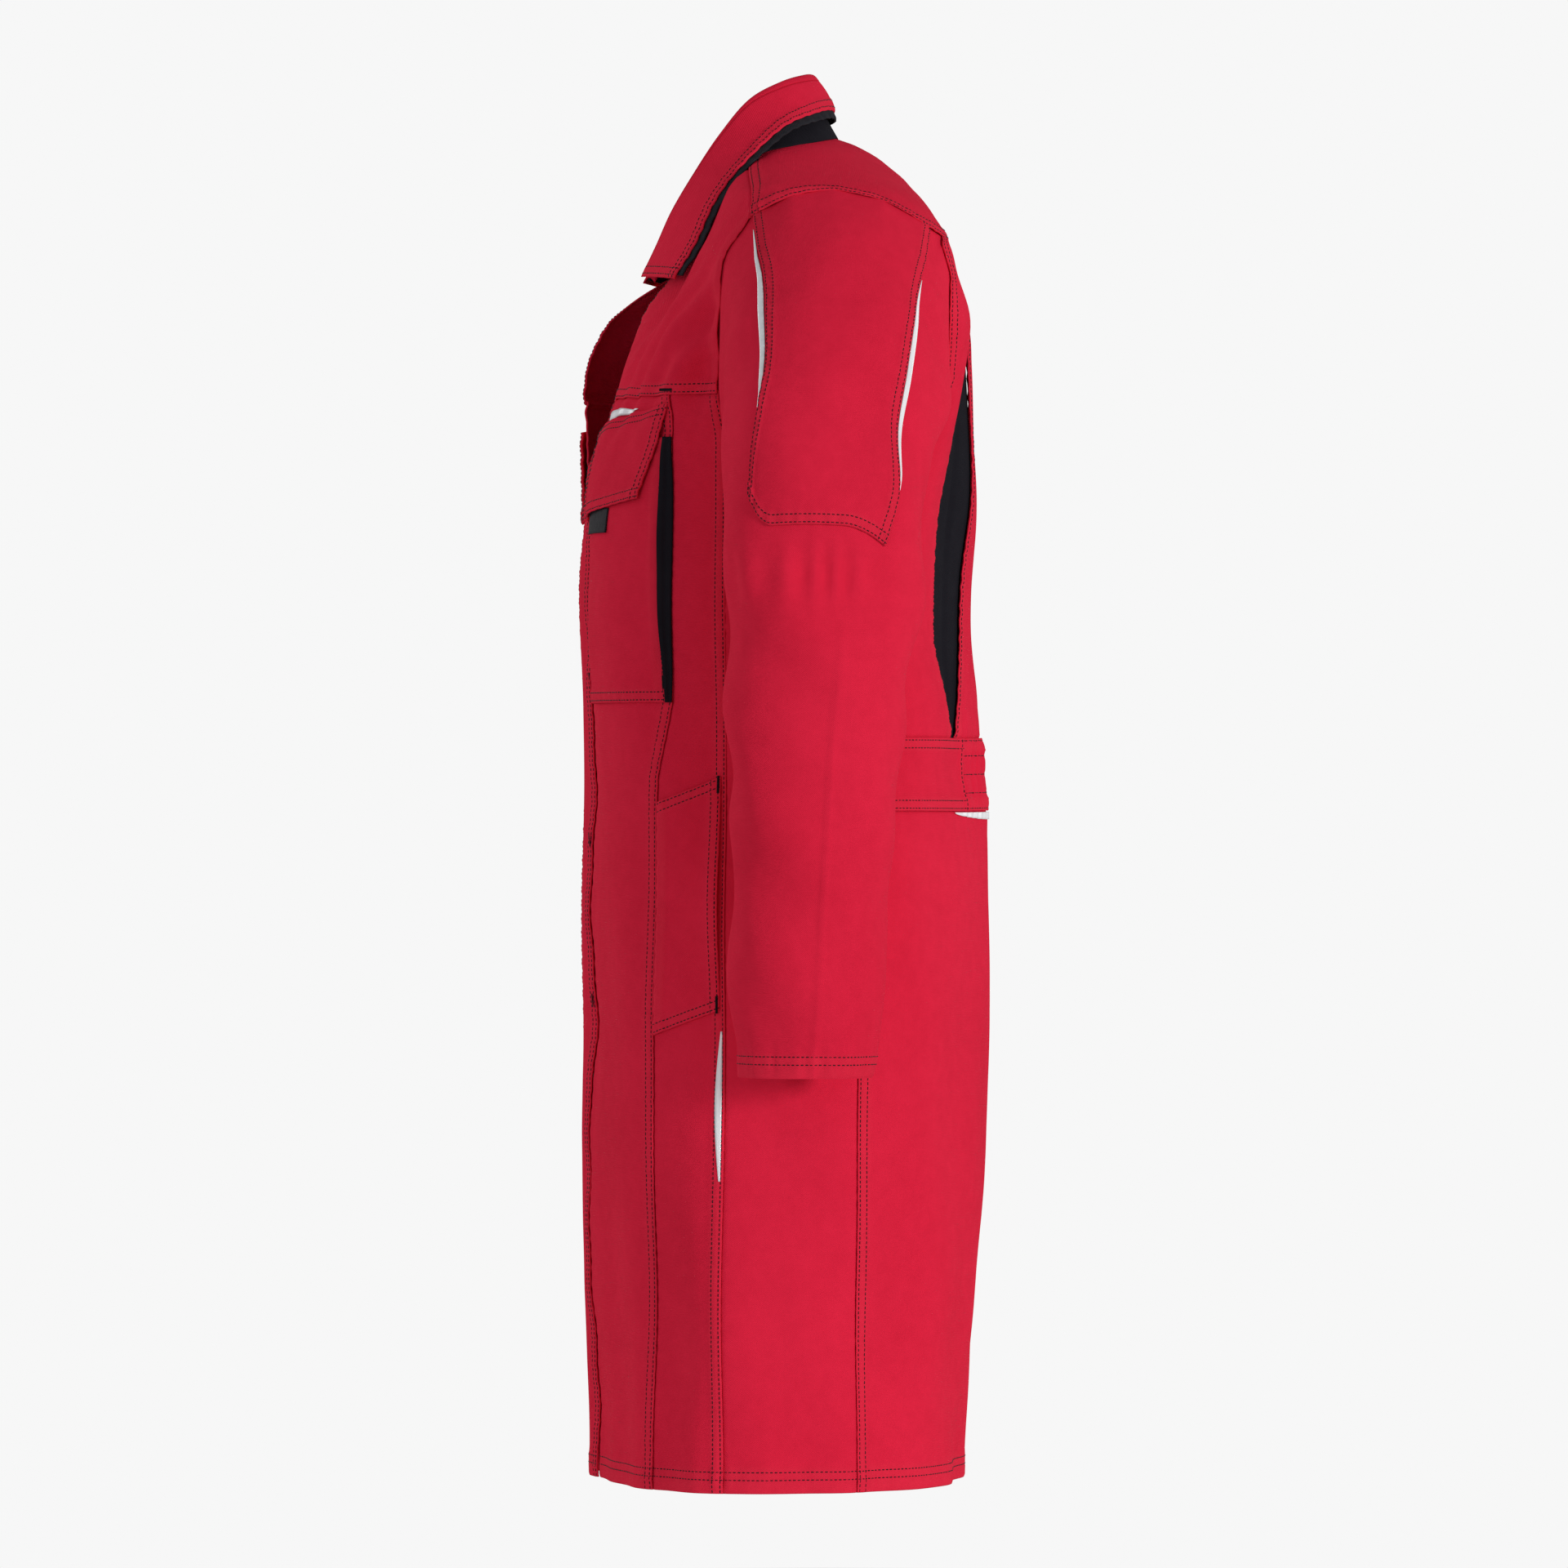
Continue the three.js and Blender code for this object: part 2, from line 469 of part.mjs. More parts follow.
bothSides((side, sign) => {
  const rails = (near, far) => (sign > 0 ? [near, far] : [far.map(mirrored), near.map(mirrored)]);
  const pocketLayer = { side: sign, ...layerOut(1, CLOTH, BELLOWS_ROOM) };
  panel(`chest_pocket_${side}`, red(), pocketDrops, pocketFront, pocketBack, 9, pocketLayer);
  const up = (drop) => (POCKET_BOTTOM - drop) / (POCKET_BOTTOM - POCKET_TOP);
  const swell = (drop) => BELLOWS_SWELL * Math.sin(Math.PI * up(drop));
  const bellowsBack = (drop) => slide(princess(drop), swell(drop));
  const bellowsLayer = { side: sign, inner: TAPE_GAP, outer: BELLOWS_ROOM + TRIM };
  panel(`pocket_bellows_${side}`, black(), pocketDrops, pocketBack, bellowsBack, 2, bellowsLayer);

  const depths = [FLAP_DEPTH + FLAP_SPREAD, 56, 38, FLAP_RISE_DEPTH, FLAP_RISE_DEPTH / 2, 0];
  const [flapA, flapB] = rails(depths.map((d) => flapSpot(0, d)), depths.map((d) => flapSpot(1, d)));
  const depthAt = (share) => {
    const [a, b, part] = readRail(depths, share);
    return THREE.MathUtils.lerp(a, b, part);
  };
  const rise = (share) => (FLAP_FACE - FLAP_SEAT) * Math.min(1, depthAt(share) / FLAP_RISE_DEPTH);
  const flap = sheetBetween(flapA, flapB, 9, FLAP_SEAT, FLAP_SEAT + CLOTH, rise);
  addMesh(`chest_flap_${side}`, flap, red());

  // the reflective insert is sewn in just above the flap, and the pull tab hangs below it
  const shares = Array.from({ length: INSERT_PARTS + 1 }, (_, i) => i / INSERT_PARTS);
  const leaf = (share) => 1 + INSERT_WIDTH * Math.sin(Math.PI * share ** 0.6);
  const low = shares.map((share) => flapSpot(share * INSERT_SHARE, -SEAM_GAP));
  const high = shares.map((share) => flapSpot(share * INSERT_SHARE, -SEAM_GAP - leaf(share)));
  const turned = (rail) => (sign > 0 ? rail : rail.map(mirrored).reverse());
  const [upper, lower] = [turned(high), turned(low)];
  addMesh(`flap_piping_${side}`, sheetBetween(upper, lower, 1, TAPE_GAP, TAPE_GAP + TRIM), reflective());

  const flapEnd = FLAP_TOP + FLAP_SLANT + FLAP_DEPTH + FLAP_SPREAD;
  const tabFront = (drop) => frontX(TAB_FRONT_X, drop);
  const tabBack = (drop) => frontX(TAB_FRONT_X + TAB_WIDTH, drop);
  const tabLayer = { side: sign, inner: POCKET_FACE + TAPE_GAP, outer: POCKET_FACE + TAPE_GAP + TRIM };
  const tabDrops = [flapEnd + TAB_SHOWS, flapEnd - 3, flapEnd - TAB_HIDDEN];
  panel(`pull_tab_${side}`, black(), tabDrops, tabFront, tabBack, 3, tabLayer);
});

// ---------- side pockets ----------

const SIDE_PIPING_ROOM = 0.6;

bothSides((side, sign) => {
  const near = sidePocketRows.map((drop) => slide(princess(drop + SIDE_POCKET_SLANT), 1));
  const far = sidePocketRows.map((drop) => slide(sideY(SIDE_FRONT_Y, drop), -4));
  const rails = sign > 0 ? [near, far] : [far.map(mirrored), near.map(mirrored)];
  const layer = layerOut(1, CLOTH);
  addMesh(`side_pocket_${side}`, sheetBetween(rails[0], rails[1], 3, layer.inner, layer.outer), red());

  const leaf = (drop) => 1 + 3 * Math.sin((Math.PI * (drop - SIDE_PIPING_TOP)) / SIDE_PIPING_LENGTH);
  const leafFront = (drop) => slide(sideFront(drop), -3 - leaf(drop));
  const leafBack = (drop) => slide(sideFront(drop), -2);
  const pipingLayer = { side: sign, gap: 0, ...layerOut(1, TRIM, SIDE_PIPING_ROOM) };
  panel(`side_piping_${side}`, reflective(), sidePipingRows, leafFront, leafBack, 1, pipingLayer);
});

// ---------- collar ----------

// half of each line, from the front end of the collar to the centre back
const vector = (x, y, z) => new THREE.Vector3(x, y, z);
const foldLine = [
  vector(50, -143, -114), vector(56, -132, -91), vector(63, -120, -64), vector(68, -105, -38),
  vector(71, -84, -6), vector(68, -62, 20), vector(55, -38, 34), vector(31, -20, 41), vector(0, -13, 43),
];
const outerLine = [
  vector(97, -132, -119), vector(102, -119, -94), vector(108, -101, -59), vector(107, -79, -26),
  vector(97, -51, -3), vector(80, -26, 9), vector(58, -8, 15), vector(30, 2, 18), vector(0, 5, 19),
];
const bothEnds = (half) => [...half, ...half.slice(0, -1).reverse().map((p) => vector(-p.x, p.y, p.z))];
const smoothLine = (half) => new THREE.CatmullRomCurve3(bothEnds(half), false, 'centripetal');
const fold = smoothLine(foldLine);
const outerEdge = smoothLine(outerLine);
const COLLAR_STEPS = 22;
const NECK_AXIS_Y = -45;

function awayFromNeck(point) {
  return vector(point.x, point.y - NECK_AXIS_Y, 0).normalize();
}

// a sheet between two lines that run from the wearer's left front round the back
function ruledSheet(lineA, lineB, across, thickness, out = 0, start = 0) {
  const middle = (u, v) => lineA(v).lerp(lineB(v), u);
  const small = 0.01;
  return bentBox(across, COLLAR_STEPS, (u, share, w) => {
    const v = THREE.MathUtils.lerp(start, 1 - start, share);
    const alongStep = middle(u, Math.min(1, v + small)).sub(middle(u, Math.max(0, v - small)));
    const acrossStep = lineB(v).sub(lineA(v));
    const normal = acrossStep.cross(alongStep).normalize();
    return middle(u, v).addScaledVector(normal, out + (w - 0.5) * thickness);
  });
}

const LEAF_THICK = 1.6;
const FOLD_ROOM = 5;
const leafTop = (v) => {
  const p = fold.getPoint(v);
  return p.clone().addScaledVector(awayFromNeck(p), FOLD_ROOM);
};
const leafLow = (v) => outerEdge.getPoint(v);
addMesh('collar_leaf', ruledSheet(leafTop, leafLow, 3, LEAF_THICK), red());

// the under collar follows the leaf inside and shows a narrow edge past it
const UNDER_SHOWS = 5;
const underLow = (v) => leafLow(v).addScaledVector(leafLow(v).sub(leafTop(v)).normalize(), UNDER_SHOWS);
const UNDER_ROOM = 2.5;
const UNDER_OUT = -LEAF_THICK - UNDER_ROOM;
addMesh('collar_under', ruledSheet(leafTop, underLow, 3, LEAF_THICK, UNDER_OUT), black());

// the stand rises from the neck seam to the fold, inside both leaves
const NECK_RAIL = wholeRail(neckline);
const neckPoint = (v) => {
  const spot = spotOnRail(NECK_RAIL, v);
  return offForm(spot, LAYER_GAP + LEAF_THICK / 2);
};
const STAND_SETBACK = 5.5;
const STAND_START = 0.07;
const standTop = (v) => {
  const p = fold.getPoint(v);
  return p.clone().addScaledVector(awayFromNeck(p), -STAND_SETBACK);
};
addMesh('collar_stand', ruledSheet(standTop, neckPoint, 2, LEAF_THICK, 0, STAND_START), black());

// hanging loop: a narrow tape arch on the inside of the stand at the centre back
const LOOP_HALF = 28;
const LOOP_ROOT_Y = -6;
const LOOP_STANDS_OFF = 12;
const loopPath = new THREE.CatmullRomCurve3([
  vector(-LOOP_HALF, LOOP_ROOT_Y, 8), vector(-LOOP_HALF + 4, LOOP_ROOT_Y - LOOP_STANDS_OFF, 5),
  vector(0, LOOP_ROOT_Y - LOOP_STANDS_OFF - 3, 2), vector(LOOP_HALF - 4, LOOP_ROOT_Y - LOOP_STANDS_OFF, 5),
  vector(LOOP_HALF, LOOP_ROOT_Y, 8),
]);
const LOOP_THICK = 1.4;
const LOOP_WIDTH = 6;
const loopCorners = [[-1, -1], [1, -1], [1, 1], [-1, 1]].map(
  ([a, b]) => new THREE.Vector2((a * LOOP_THICK) / 2, (b * LOOP_WIDTH) / 2),
);
const loopSection = new THREE.Shape(loopCorners);
const loopSettings = { steps: 10, bevelEnabled: false, extrudePath: loopPath };
const loopTape = new THREE.ExtrudeGeometry(loopSection, loopSettings);
loopTape.deleteAttribute('normal');
loopTape.deleteAttribute('uv');
addMesh('hanging_loop', mergeVertices(loopTape, 1e-4), black());

// ---------- sleeves ----------

const ARMHOLE_CENTRE_DROP = SHOULDER_DROP + ARMHOLE_HALF_HEIGHT + 1.8;
const SLEEVE_START_X = 215.35;
// how far along, centre x, centre y, centre drop, tilt in degrees, half width, half depth
const SLEEVE = [
  [0, SLEEVE_START_X, ARMHOLE_CENTRE_Y, ARMHOLE_CENTRE_DROP, 90, ARMHOLE_HALF_HEIGHT, ARMHOLE_HALF_DEPTH],
  [0.12, 244, ARMHOLE_CENTRE_Y, 208, 75, 105, ARMHOLE_HALF_DEPTH - 2],
  [0.24, 272, 0, 260, 47, 83, UPPER_SLEEVE_HALF_DEPTH + 4],
  [0.34, 286, -5, 325, 14, 69, UPPER_SLEEVE_HALF_DEPTH],
  [0.54, 292, -10, 457, 0, 60, 68],
  [0.7, 296, -15, 562, 0, 55, 60],
  [0.85, 298, -19, 650, 0, 50, 56.5],
  [1, 300, -22, SLEEVE_DROP, 0, CUFF_HALF_WIDTH, CUFF_HALF_DEPTH],
];
const sleeveAt = smoothTable(SLEEVE);

// turn 0 is the front of the sleeve and a quarter turn its outside
function onSleeve(turn, along, out) {
  const [x, y, drop, tilt, halfWidth, halfDepth] = sleeveAt(along);
  const lean = THREE.MathUtils.degToRad(tilt);
  const across = (halfWidth + out) * Math.sin(turn);
  const forward = (halfDepth + out) * Math.cos(turn);
  return vector(x + across * Math.cos(lean), y - forward, -drop + across * Math.sin(lean));
}

const SLEEVE_SIDES = 18;
const SLEEVE_ROWS = [1, 0.77, 0.54, 0.44, 0.34, 0.28, 0.22, 0.16, 0.1, 0.05, 0];

// a closed tube wall: a turned ring profile, moved onto the sleeve
function sleeveTube() {
  const inner = SLEEVE_ROWS.map((along, i) => new THREE.Vector2(1, i)).reverse();
  const outer = SLEEVE_ROWS.map((along, i) => new THREE.Vector2(2, i));
  const tube = new THREE.LatheGeometry([...outer, ...inner, outer[0]], SLEEVE_SIDES);
  const corner = tube.attributes.position;
  for (let i = 0; i < corner.count; i++) {
    const radius = Math.hypot(corner.getX(i), corner.getZ(i));
    const side = Math.round((Math.atan2(corner.getX(i), corner.getZ(i)) / (2 * Math.PI)) * SLEEVE_SIDES);
    const turn = (side / SLEEVE_SIDES) * 2 * Math.PI;
    const p = onSleeve(turn, SLEEVE_ROWS[Math.round(corner.getY(i))], radius > 1.5 ? 0 : -CLOTH);
    corner.setXYZ(i, p.x, p.y, p.z);
  }
  tube.deleteAttribute('normal');
  tube.deleteAttribute('uv');
  return mergeVertices(tube, 1e-4);
}

// a piece sewn on the sleeve between two rails of turn and along
function sleevePiece(railA, railB, across, inner, outer) {
  return bentBox(across, railA.length - 1, (u, v, w) => {
    const row = Math.round(v * (railA.length - 1));
    const turn = THREE.MathUtils.lerp(railA[row].turn, railB[row].turn, u);
    const along = THREE.MathUtils.lerp(railA[row].along, railB[row].along, u);
    return onSleeve(turn, along, THREE.MathUtils.lerp(inner, outer, w));
  });
}

const degrees = THREE.MathUtils.degToRad;
const PATCH_ROWS = [0.36, 0.34, 0.28, 0.22, 0.16, 0.1, 0.05, 0.015];
const PATCH_FRONT = degrees(43);
const PATCH_BACK = degrees(146);
const patchRail = (turn) => PATCH_ROWS.map((along) => ({ turn, along }));
const LEAF_LOW = 0.265;
const LEAF_HIGH = 0.06;
const LEAF_PARTS = 6;
const LEAF_END = 0.6;
const LEAF_BOW = 4;
const LEAF_GAP = degrees(1);
const leafRails = (turn, sign) => {
  const rows = Array.from({ length: LEAF_PARTS + 1 }, (_, i) => i / LEAF_PARTS);
  const along = (share) => THREE.MathUtils.lerp(LEAF_LOW, LEAF_HIGH, share);
  const straight = rows.map((share) => ({ turn, along: along(share) }));
  const bow = (share) => degrees(LEAF_END + LEAF_BOW * Math.sin(Math.PI * share));
  const bowed = rows.map((share) => ({ turn: turn + sign * bow(share), along: along(share) }));
  return sign > 0 ? [straight, bowed] : [bowed, straight];
};

const PATCH_ROOM = 1.2;
const patchLayer = [PATCH_ROOM, PATCH_ROOM + CLOTH];
const leafLayer = [PATCH_ROOM, PATCH_ROOM + TRIM];
const patchFrame = [patchRail(PATCH_FRONT), patchRail(PATCH_BACK)];
const frontLeaf = leafRails(PATCH_FRONT - LEAF_GAP, -1);
const backLeaf = leafRails(PATCH_BACK + LEAF_GAP, 1);
bothSides((side, sign) => {
  const pieces = [
    [`sleeve_${side}`, sleeveTube(), red()],
    [`sleeve_patch_${side}`, sleevePiece(...patchFrame, 10, ...patchLayer), red()],
    [`sleeve_piping_front_${side}`, sleevePiece(...frontLeaf, 1, ...leafLayer), reflective()],
    [`sleeve_piping_back_${side}`, sleevePiece(...backLeaf, 1, ...leafLayer), reflective()],
  ];
  for (const [name, geometry, material] of pieces) {
    if (sign < 0) mirrorAcross(geometry);
    addMesh(name, geometry, material);
  }
});

export default group;
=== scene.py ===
import math
import bpy
import numpy as np
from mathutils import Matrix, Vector


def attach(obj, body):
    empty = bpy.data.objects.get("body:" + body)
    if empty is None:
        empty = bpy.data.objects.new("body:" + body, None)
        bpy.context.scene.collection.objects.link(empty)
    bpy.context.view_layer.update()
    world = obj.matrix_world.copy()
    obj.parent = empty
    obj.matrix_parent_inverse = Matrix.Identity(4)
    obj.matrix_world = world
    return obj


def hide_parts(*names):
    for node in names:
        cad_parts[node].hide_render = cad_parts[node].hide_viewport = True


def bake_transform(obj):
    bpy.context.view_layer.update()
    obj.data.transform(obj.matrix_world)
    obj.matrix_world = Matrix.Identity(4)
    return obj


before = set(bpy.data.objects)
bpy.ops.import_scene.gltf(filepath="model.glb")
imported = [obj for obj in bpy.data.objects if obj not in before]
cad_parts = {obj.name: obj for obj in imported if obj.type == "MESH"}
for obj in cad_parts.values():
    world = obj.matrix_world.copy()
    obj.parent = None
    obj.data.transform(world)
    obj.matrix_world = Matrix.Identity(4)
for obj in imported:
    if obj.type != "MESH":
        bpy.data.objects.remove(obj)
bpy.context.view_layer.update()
scene = bpy.context.scene

# camera: exactly from the wearer's left, level
view = {"place": (8.0, -0.0355, -0.512), "lens": 232.6, "sensor": 36.0}
cameraData = bpy.data.cameras.new("viewCamera")
cameraData.lens = view["lens"]
cameraData.sensor_width = view["sensor"]
cameraData.clip_end = 60
camera = bpy.data.objects.new("viewCamera", cameraData)
camera.location = view["place"]
camera.rotation_euler = (math.pi / 2, 0, math.pi / 2)
scene.collection.objects.link(camera)
scene.camera = camera
scene.view_settings.view_transform = "Standard"
print("stage: camera placed")

# number helpers, lengths in millimetres until a mesh is made
mm = 0.001


def smooth(value, low, high):
    t = np.clip((np.asarray(value, float) - low) / (high - low), 0, 1)
    return t * t * (3 - 2 * t)


def bump(value, centre, width):
    return np.exp(-(((np.asarray(value, float) - centre) / width) ** 2))


def signedPower(value, power):
    return np.sign(value) * np.abs(value) ** power


def waves(points, length, seed, count=8):
    # smooth seeded ripples through space, about one unit high
    rng = np.random.default_rng(seed)
    total = np.zeros(points.shape[:-1])
    for _ in range(count):
        way = rng.normal(size=3)
        way /= np.linalg.norm(way)
        stretch = rng.uniform(0.7, 1.5)
        total += np.sin(points @ way * (2 * math.pi * stretch / length) + rng.uniform(0, 2 * math.pi))
    return total / math.sqrt(count / 1.6)


def smoothTable(rows):
    # a cubic through the rows, read by their first column
    rows = np.array(rows, float)
    keys, values = rows[:, 0], rows[:, 1:]
    last = len(keys) - 1

    def read(at):
        at = np.clip(np.asarray(at, float), keys[0], keys[-1])
        i0 = np.clip(np.searchsorted(keys, at, side="right") - 1, 0, last - 1)
        i1 = i0 + 1
        t0, t1 = keys[i0], keys[i1]
        before = np.where(i0 == 0, i1, i0 - 1)
        after = np.where(i1 == last, i0, np.minimum(i1 + 1, last))
        tBefore = np.where(i0 == 0, 2 * t0 - t1, keys[np.maximum(i0 - 1, 0)])
        tAfter = np.where(i1 == last, 2 * t1 - t0, keys[np.minimum(i1 + 1, last)])
        half = (t1 - t0) * 0.5
        wb = half / (t0 - tBefore)
        wa = half / (tAfter - t1)
        p = (at - t0) / (t1 - t0)
        pp, ppp = p * p, p * p * p
        sb = -wb * ppp + 2 * wb * pp - wb * p
        s0 = (1 + wb) * ppp + (-1.5 - 2 * wb) * pp + (-0.5 + wb) * p + 1
        s1 = (-1 - wa) * ppp + (1.5 + wa) * pp + 0.5 * p
        sa = wa * ppp - wa * pp
        mix = [sb[..., None] * values[before], s0[..., None] * values[i0], s1[..., None] * values[i1],
            sa[..., None] * values[after]]
        return np.moveaxis(sum(mix), -1, 0)

    return read


def byDrop(pairs):
    keys = [a for a, b in pairs]
    values = [b for a, b in pairs]
    return lambda drop: np.interp(drop, keys, values)


# the coat's form
coat = {
    "length": 1056, "hem": 241, "hip": 232, "waist": 213, "chest": 220, "shoulder": 212,
    "shoulderDrop": 54, "chestFront": -188, "backReach": 113.5,
    "prowFlat": 42, "prowEnd": 105, "rollSpread": 20, "cloth": 1.25,
}
hem, hip, waist, chest = coat["hem"], coat["hip"], coat["waist"], coat["chest"]
front, reach = coat["chestFront"], coat["backReach"]
formAt = smoothTable([
    # drop, front, back, half width, roundness in front and behind, lapel prow, right lapel roll
    [0, -66, 2, 52, 2.0, 2.0, 0, 0],
    [9, -74, 22, 72, 2.0, 2.0, 0, 0],
    [18, -80, 38, 104, 2.0, 2.0, 0, 0],
    [27, -84, 49, 132, 2.0, 2.1, 1, 0],
    [36, -88, 59, 160, 2.1, 2.3, 3, 0],
    [45, -89, 66, 188, 2.3, 2.6, 6, 0],
    [coat["shoulderDrop"], -89, 73, coat["shoulder"], 2.6, 3.0, 9, 0],
    [75, -94, 85, chest, 3.3, 4.5, 15, 1],
    [99, -104, 93, chest + 1, 3.7, 6.0, 21, 6],
    [118, -113, 97, chest + 1, 3.6, 6.4, 23, 14],
    [150, -132, 108, chest, 3.2, 6.0, 15, 29],
    [181, -150, 110, chest - 2, 2.9, 5.0, 8, 34],
    [236, -172, 112, chest - 5, 2.4, 3.8, 4, 16],
    [290, front, reach, chest - 8, 2.3, 3.0, 0, 2],
    [358, front - 8, reach - 2.5, waist - 1, 2.2, 2.6, 0, 0],
    [450, front - 5, reach + 1.5, waist, 2.2, 2.3, 0, 0],
    [505, front - 4, reach + 7.5, waist + 2, 2.2, 2.2, 0, 0],
    [590, front - 5.5, reach + 11, hip - 10, 2.2, 2.2, 0, 0],
    [735, front - 6, reach + 9.5, hip, 2.2, 2.2, 0, 0],
    [900, front - 2, reach + 3.5, hem - 3, 2.2, 2.2, 0, 0],
    [coat["length"], front + 1.5, reach - 6.5, hem, 2.2, 2.2, 0, 0],
])


def onForm(angle, drop):
    low, high, half, frontRound, backRound, prow, roll = formAt(drop)
    roundness = np.where(np.cos(angle) > 0, frontRound, backRound)
    x = half * signedPower(np.sin(angle), 2 / roundness)
    y = (low + high) / 2 - (high - low) / 2 * signedPower(np.cos(angle), 2 / roundness)
    fade = 1 - smooth(np.abs(x), coat["prowFlat"], coat["prowEnd"])
    rolled = np.where(x < 0, roll * smooth(-x, -coat["rollSpread"], coat["rollSpread"]), 0)
    lift = np.where(np.cos(angle) > 0, (prow + rolled) * fade, 0)
    return np.stack([x, y - lift, -np.asarray(drop, float) + 0 * x], -1)


def unit(v):
    return v / np.maximum(np.linalg.norm(v, axis=-1, keepdims=True), 1e-9)


def formNormal(angle, drop):
    around = onForm(angle + 0.004, drop) - onForm(angle - 0.004, drop)
    up = onForm(angle, drop - 0.5) - onForm(angle, drop + 0.5)
    return unit(np.cross(around, up))


# how the cloth falls: soft folds, gathers and pulls, all in one place so that layers stay together
folds = {
    "soft": 1.8, "skirt": 3.0, "gather": 1.2, "chestPull": 3.6, "armFold": 7.5, "hemWave": 1.8,
    "blouse": 2.0, "keel": 6.0,
}


def drape(angle, drop, spot):
    a = (angle + math.pi) % (2 * math.pi) - math.pi
    x, y = spot[..., 0], spot[..., 1]
    free = smooth(drop, 40, 110)
    lift = folds["soft"] * free * (waves(spot, 210, 3) + 0.75 * waves(spot * [1, 1, 0.55], 84, 5))
    skirt = smooth(drop, 540, 1000)
    lift += skirt * folds["skirt"] * (np.sin(5 * a + 0.5 + 0.0011 * drop)
        + 0.6 * np.sin(11 * a + 1.9 - 0.002 * drop))
    lift += smooth(drop, 900, 1056) * folds["hemWave"] * np.sin(17 * a + 0.7)
    behind = smooth(y, 20, 70)
    middle = 1 - smooth(np.abs(x), 84, 118)
    ripple = np.sin(x / 2.55 + 1.3 * np.sin(drop / 34) + 0.9 * np.sin(x / 17)) + 0.5 * np.sin(x / 4.6 + 2
        + drop / 60)
    strength = np.where(drop < 504, bump(drop, 490, 42), bump(drop, 518, 46))
    lift += behind * middle * folds["gather"] * strength * ripple
    lift += behind * folds["blouse"] * bump(drop, 440, 34) * (1 + 0.5 * np.sin(x / 21 + 0.6))
    lift -= behind * 2.2 * bump(drop, 504, 20)
    # the chest: pulls from the collar down to the pocket, and a deep fold beside the armhole
    ahead = smooth(-y, 70, 105)
    slope = (np.abs(x) * 0.86 + drop * 0.5) / 31
    lift += ahead * bump(drop, 170, 62) * smooth(np.abs(x), 60,
        110) * folds["chestPull"] * np.sin(slope * 2 * math.pi)
    arm = bump(y, -101 - 5 * np.sin(drop / 30), 9) * bump(drop, 178, 58) * smooth(np.abs(x), 120, 160)
    lift -= arm * folds["armFold"]
    ridge = bump(y, -119, 9) * bump(drop, 172, 52) * smooth(np.abs(x), 110, 150)
    lift += ridge * folds["armFold"] * 0.5
    # shallow creases under the arm and at the hip
    side = smooth(np.abs(x), 150, 190)
    # the placket stands forward, so that its seam falls away behind it
    centre = smooth(-y, 120, 150)
    lift *= 1 - 0.6 * centre * (1 - smooth(np.abs(x), 25, 60))
    lift -= folds["keel"] * centre * smooth(np.abs(x), 22,
        50) * (1 - smooth(np.abs(x), 60, 150)) * smooth(drop, 280, 350)
    lift += side * bump(drop, 385, 120) * 1.3 * np.sin((drop * 0.6 + y * 0.9) / 15 + 2.0 * np.sin(y / 40))
    return lift


def onCloth(angle, drop, out=0.0):
    angle, drop = np.asarray(angle, float), np.asarray(drop, float)
    base = onForm(angle, drop)
    normal = formNormal(angle, drop)
    return base + normal * (drape(angle, drop, base) + out)[..., None]


def angleAcross(x, half, roundness):
    return np.sign(x) * np.arcsin(np.minimum(1, np.abs(x) / half) ** (roundness / 2))


def frontX(x, drop):
    station = formAt(drop)
    return angleAcross(x, station[2], station[3])


def backX(x, drop):
    station = formAt(drop)
    return math.pi - angleAcross(x, station[2], station[4])


def sideY(y, drop):
    low, high, _, frontRound, backRound = formAt(drop)[:5]
    share = np.clip(((low + high) / 2 - y) / ((high - low) / 2), -1, 1)
    return np.arccos(signedPower(share, np.where(share > 0, frontRound, backRound) / 2))


def slide(angle, drop, distance):
    step = np.linalg.norm(onForm(angle + 0.004, drop) - onForm(angle - 0.004, drop), axis=-1) / 0.008
    return angle + distance / np.maximum(step, 20)


# pieces of cloth
stitchRows = {}
threadStyle = {"pitch": 3.6, "long": 2.8, "wide": 0.85, "high": 0.5}


def lineShares(length, step, fineStart, fineEnd):
    # grid lines closer together beside a sewn edge
    fine = [0, 0.9, 2.2, 3.6, 5.4, 7.2, 8.4, 9.6, 11.4]
    count = max(2, int(round(length / step)))
    if length < 42:
        count = max(2, int(round(length / min(step, 2.4))))
        return np.linspace(0, 1, count + 1)
    low = [v for v in fine] if fineStart else [0]
    high = [length - v for v in reversed(fine)] if fineEnd else [length]
    inside = high[0] - low[-1]
    middle = np.linspace(low[-1], high[0], max(2, int(round(inside / step))) + 1)[1:-1]
    return np.array(low + list(middle) + high) / length


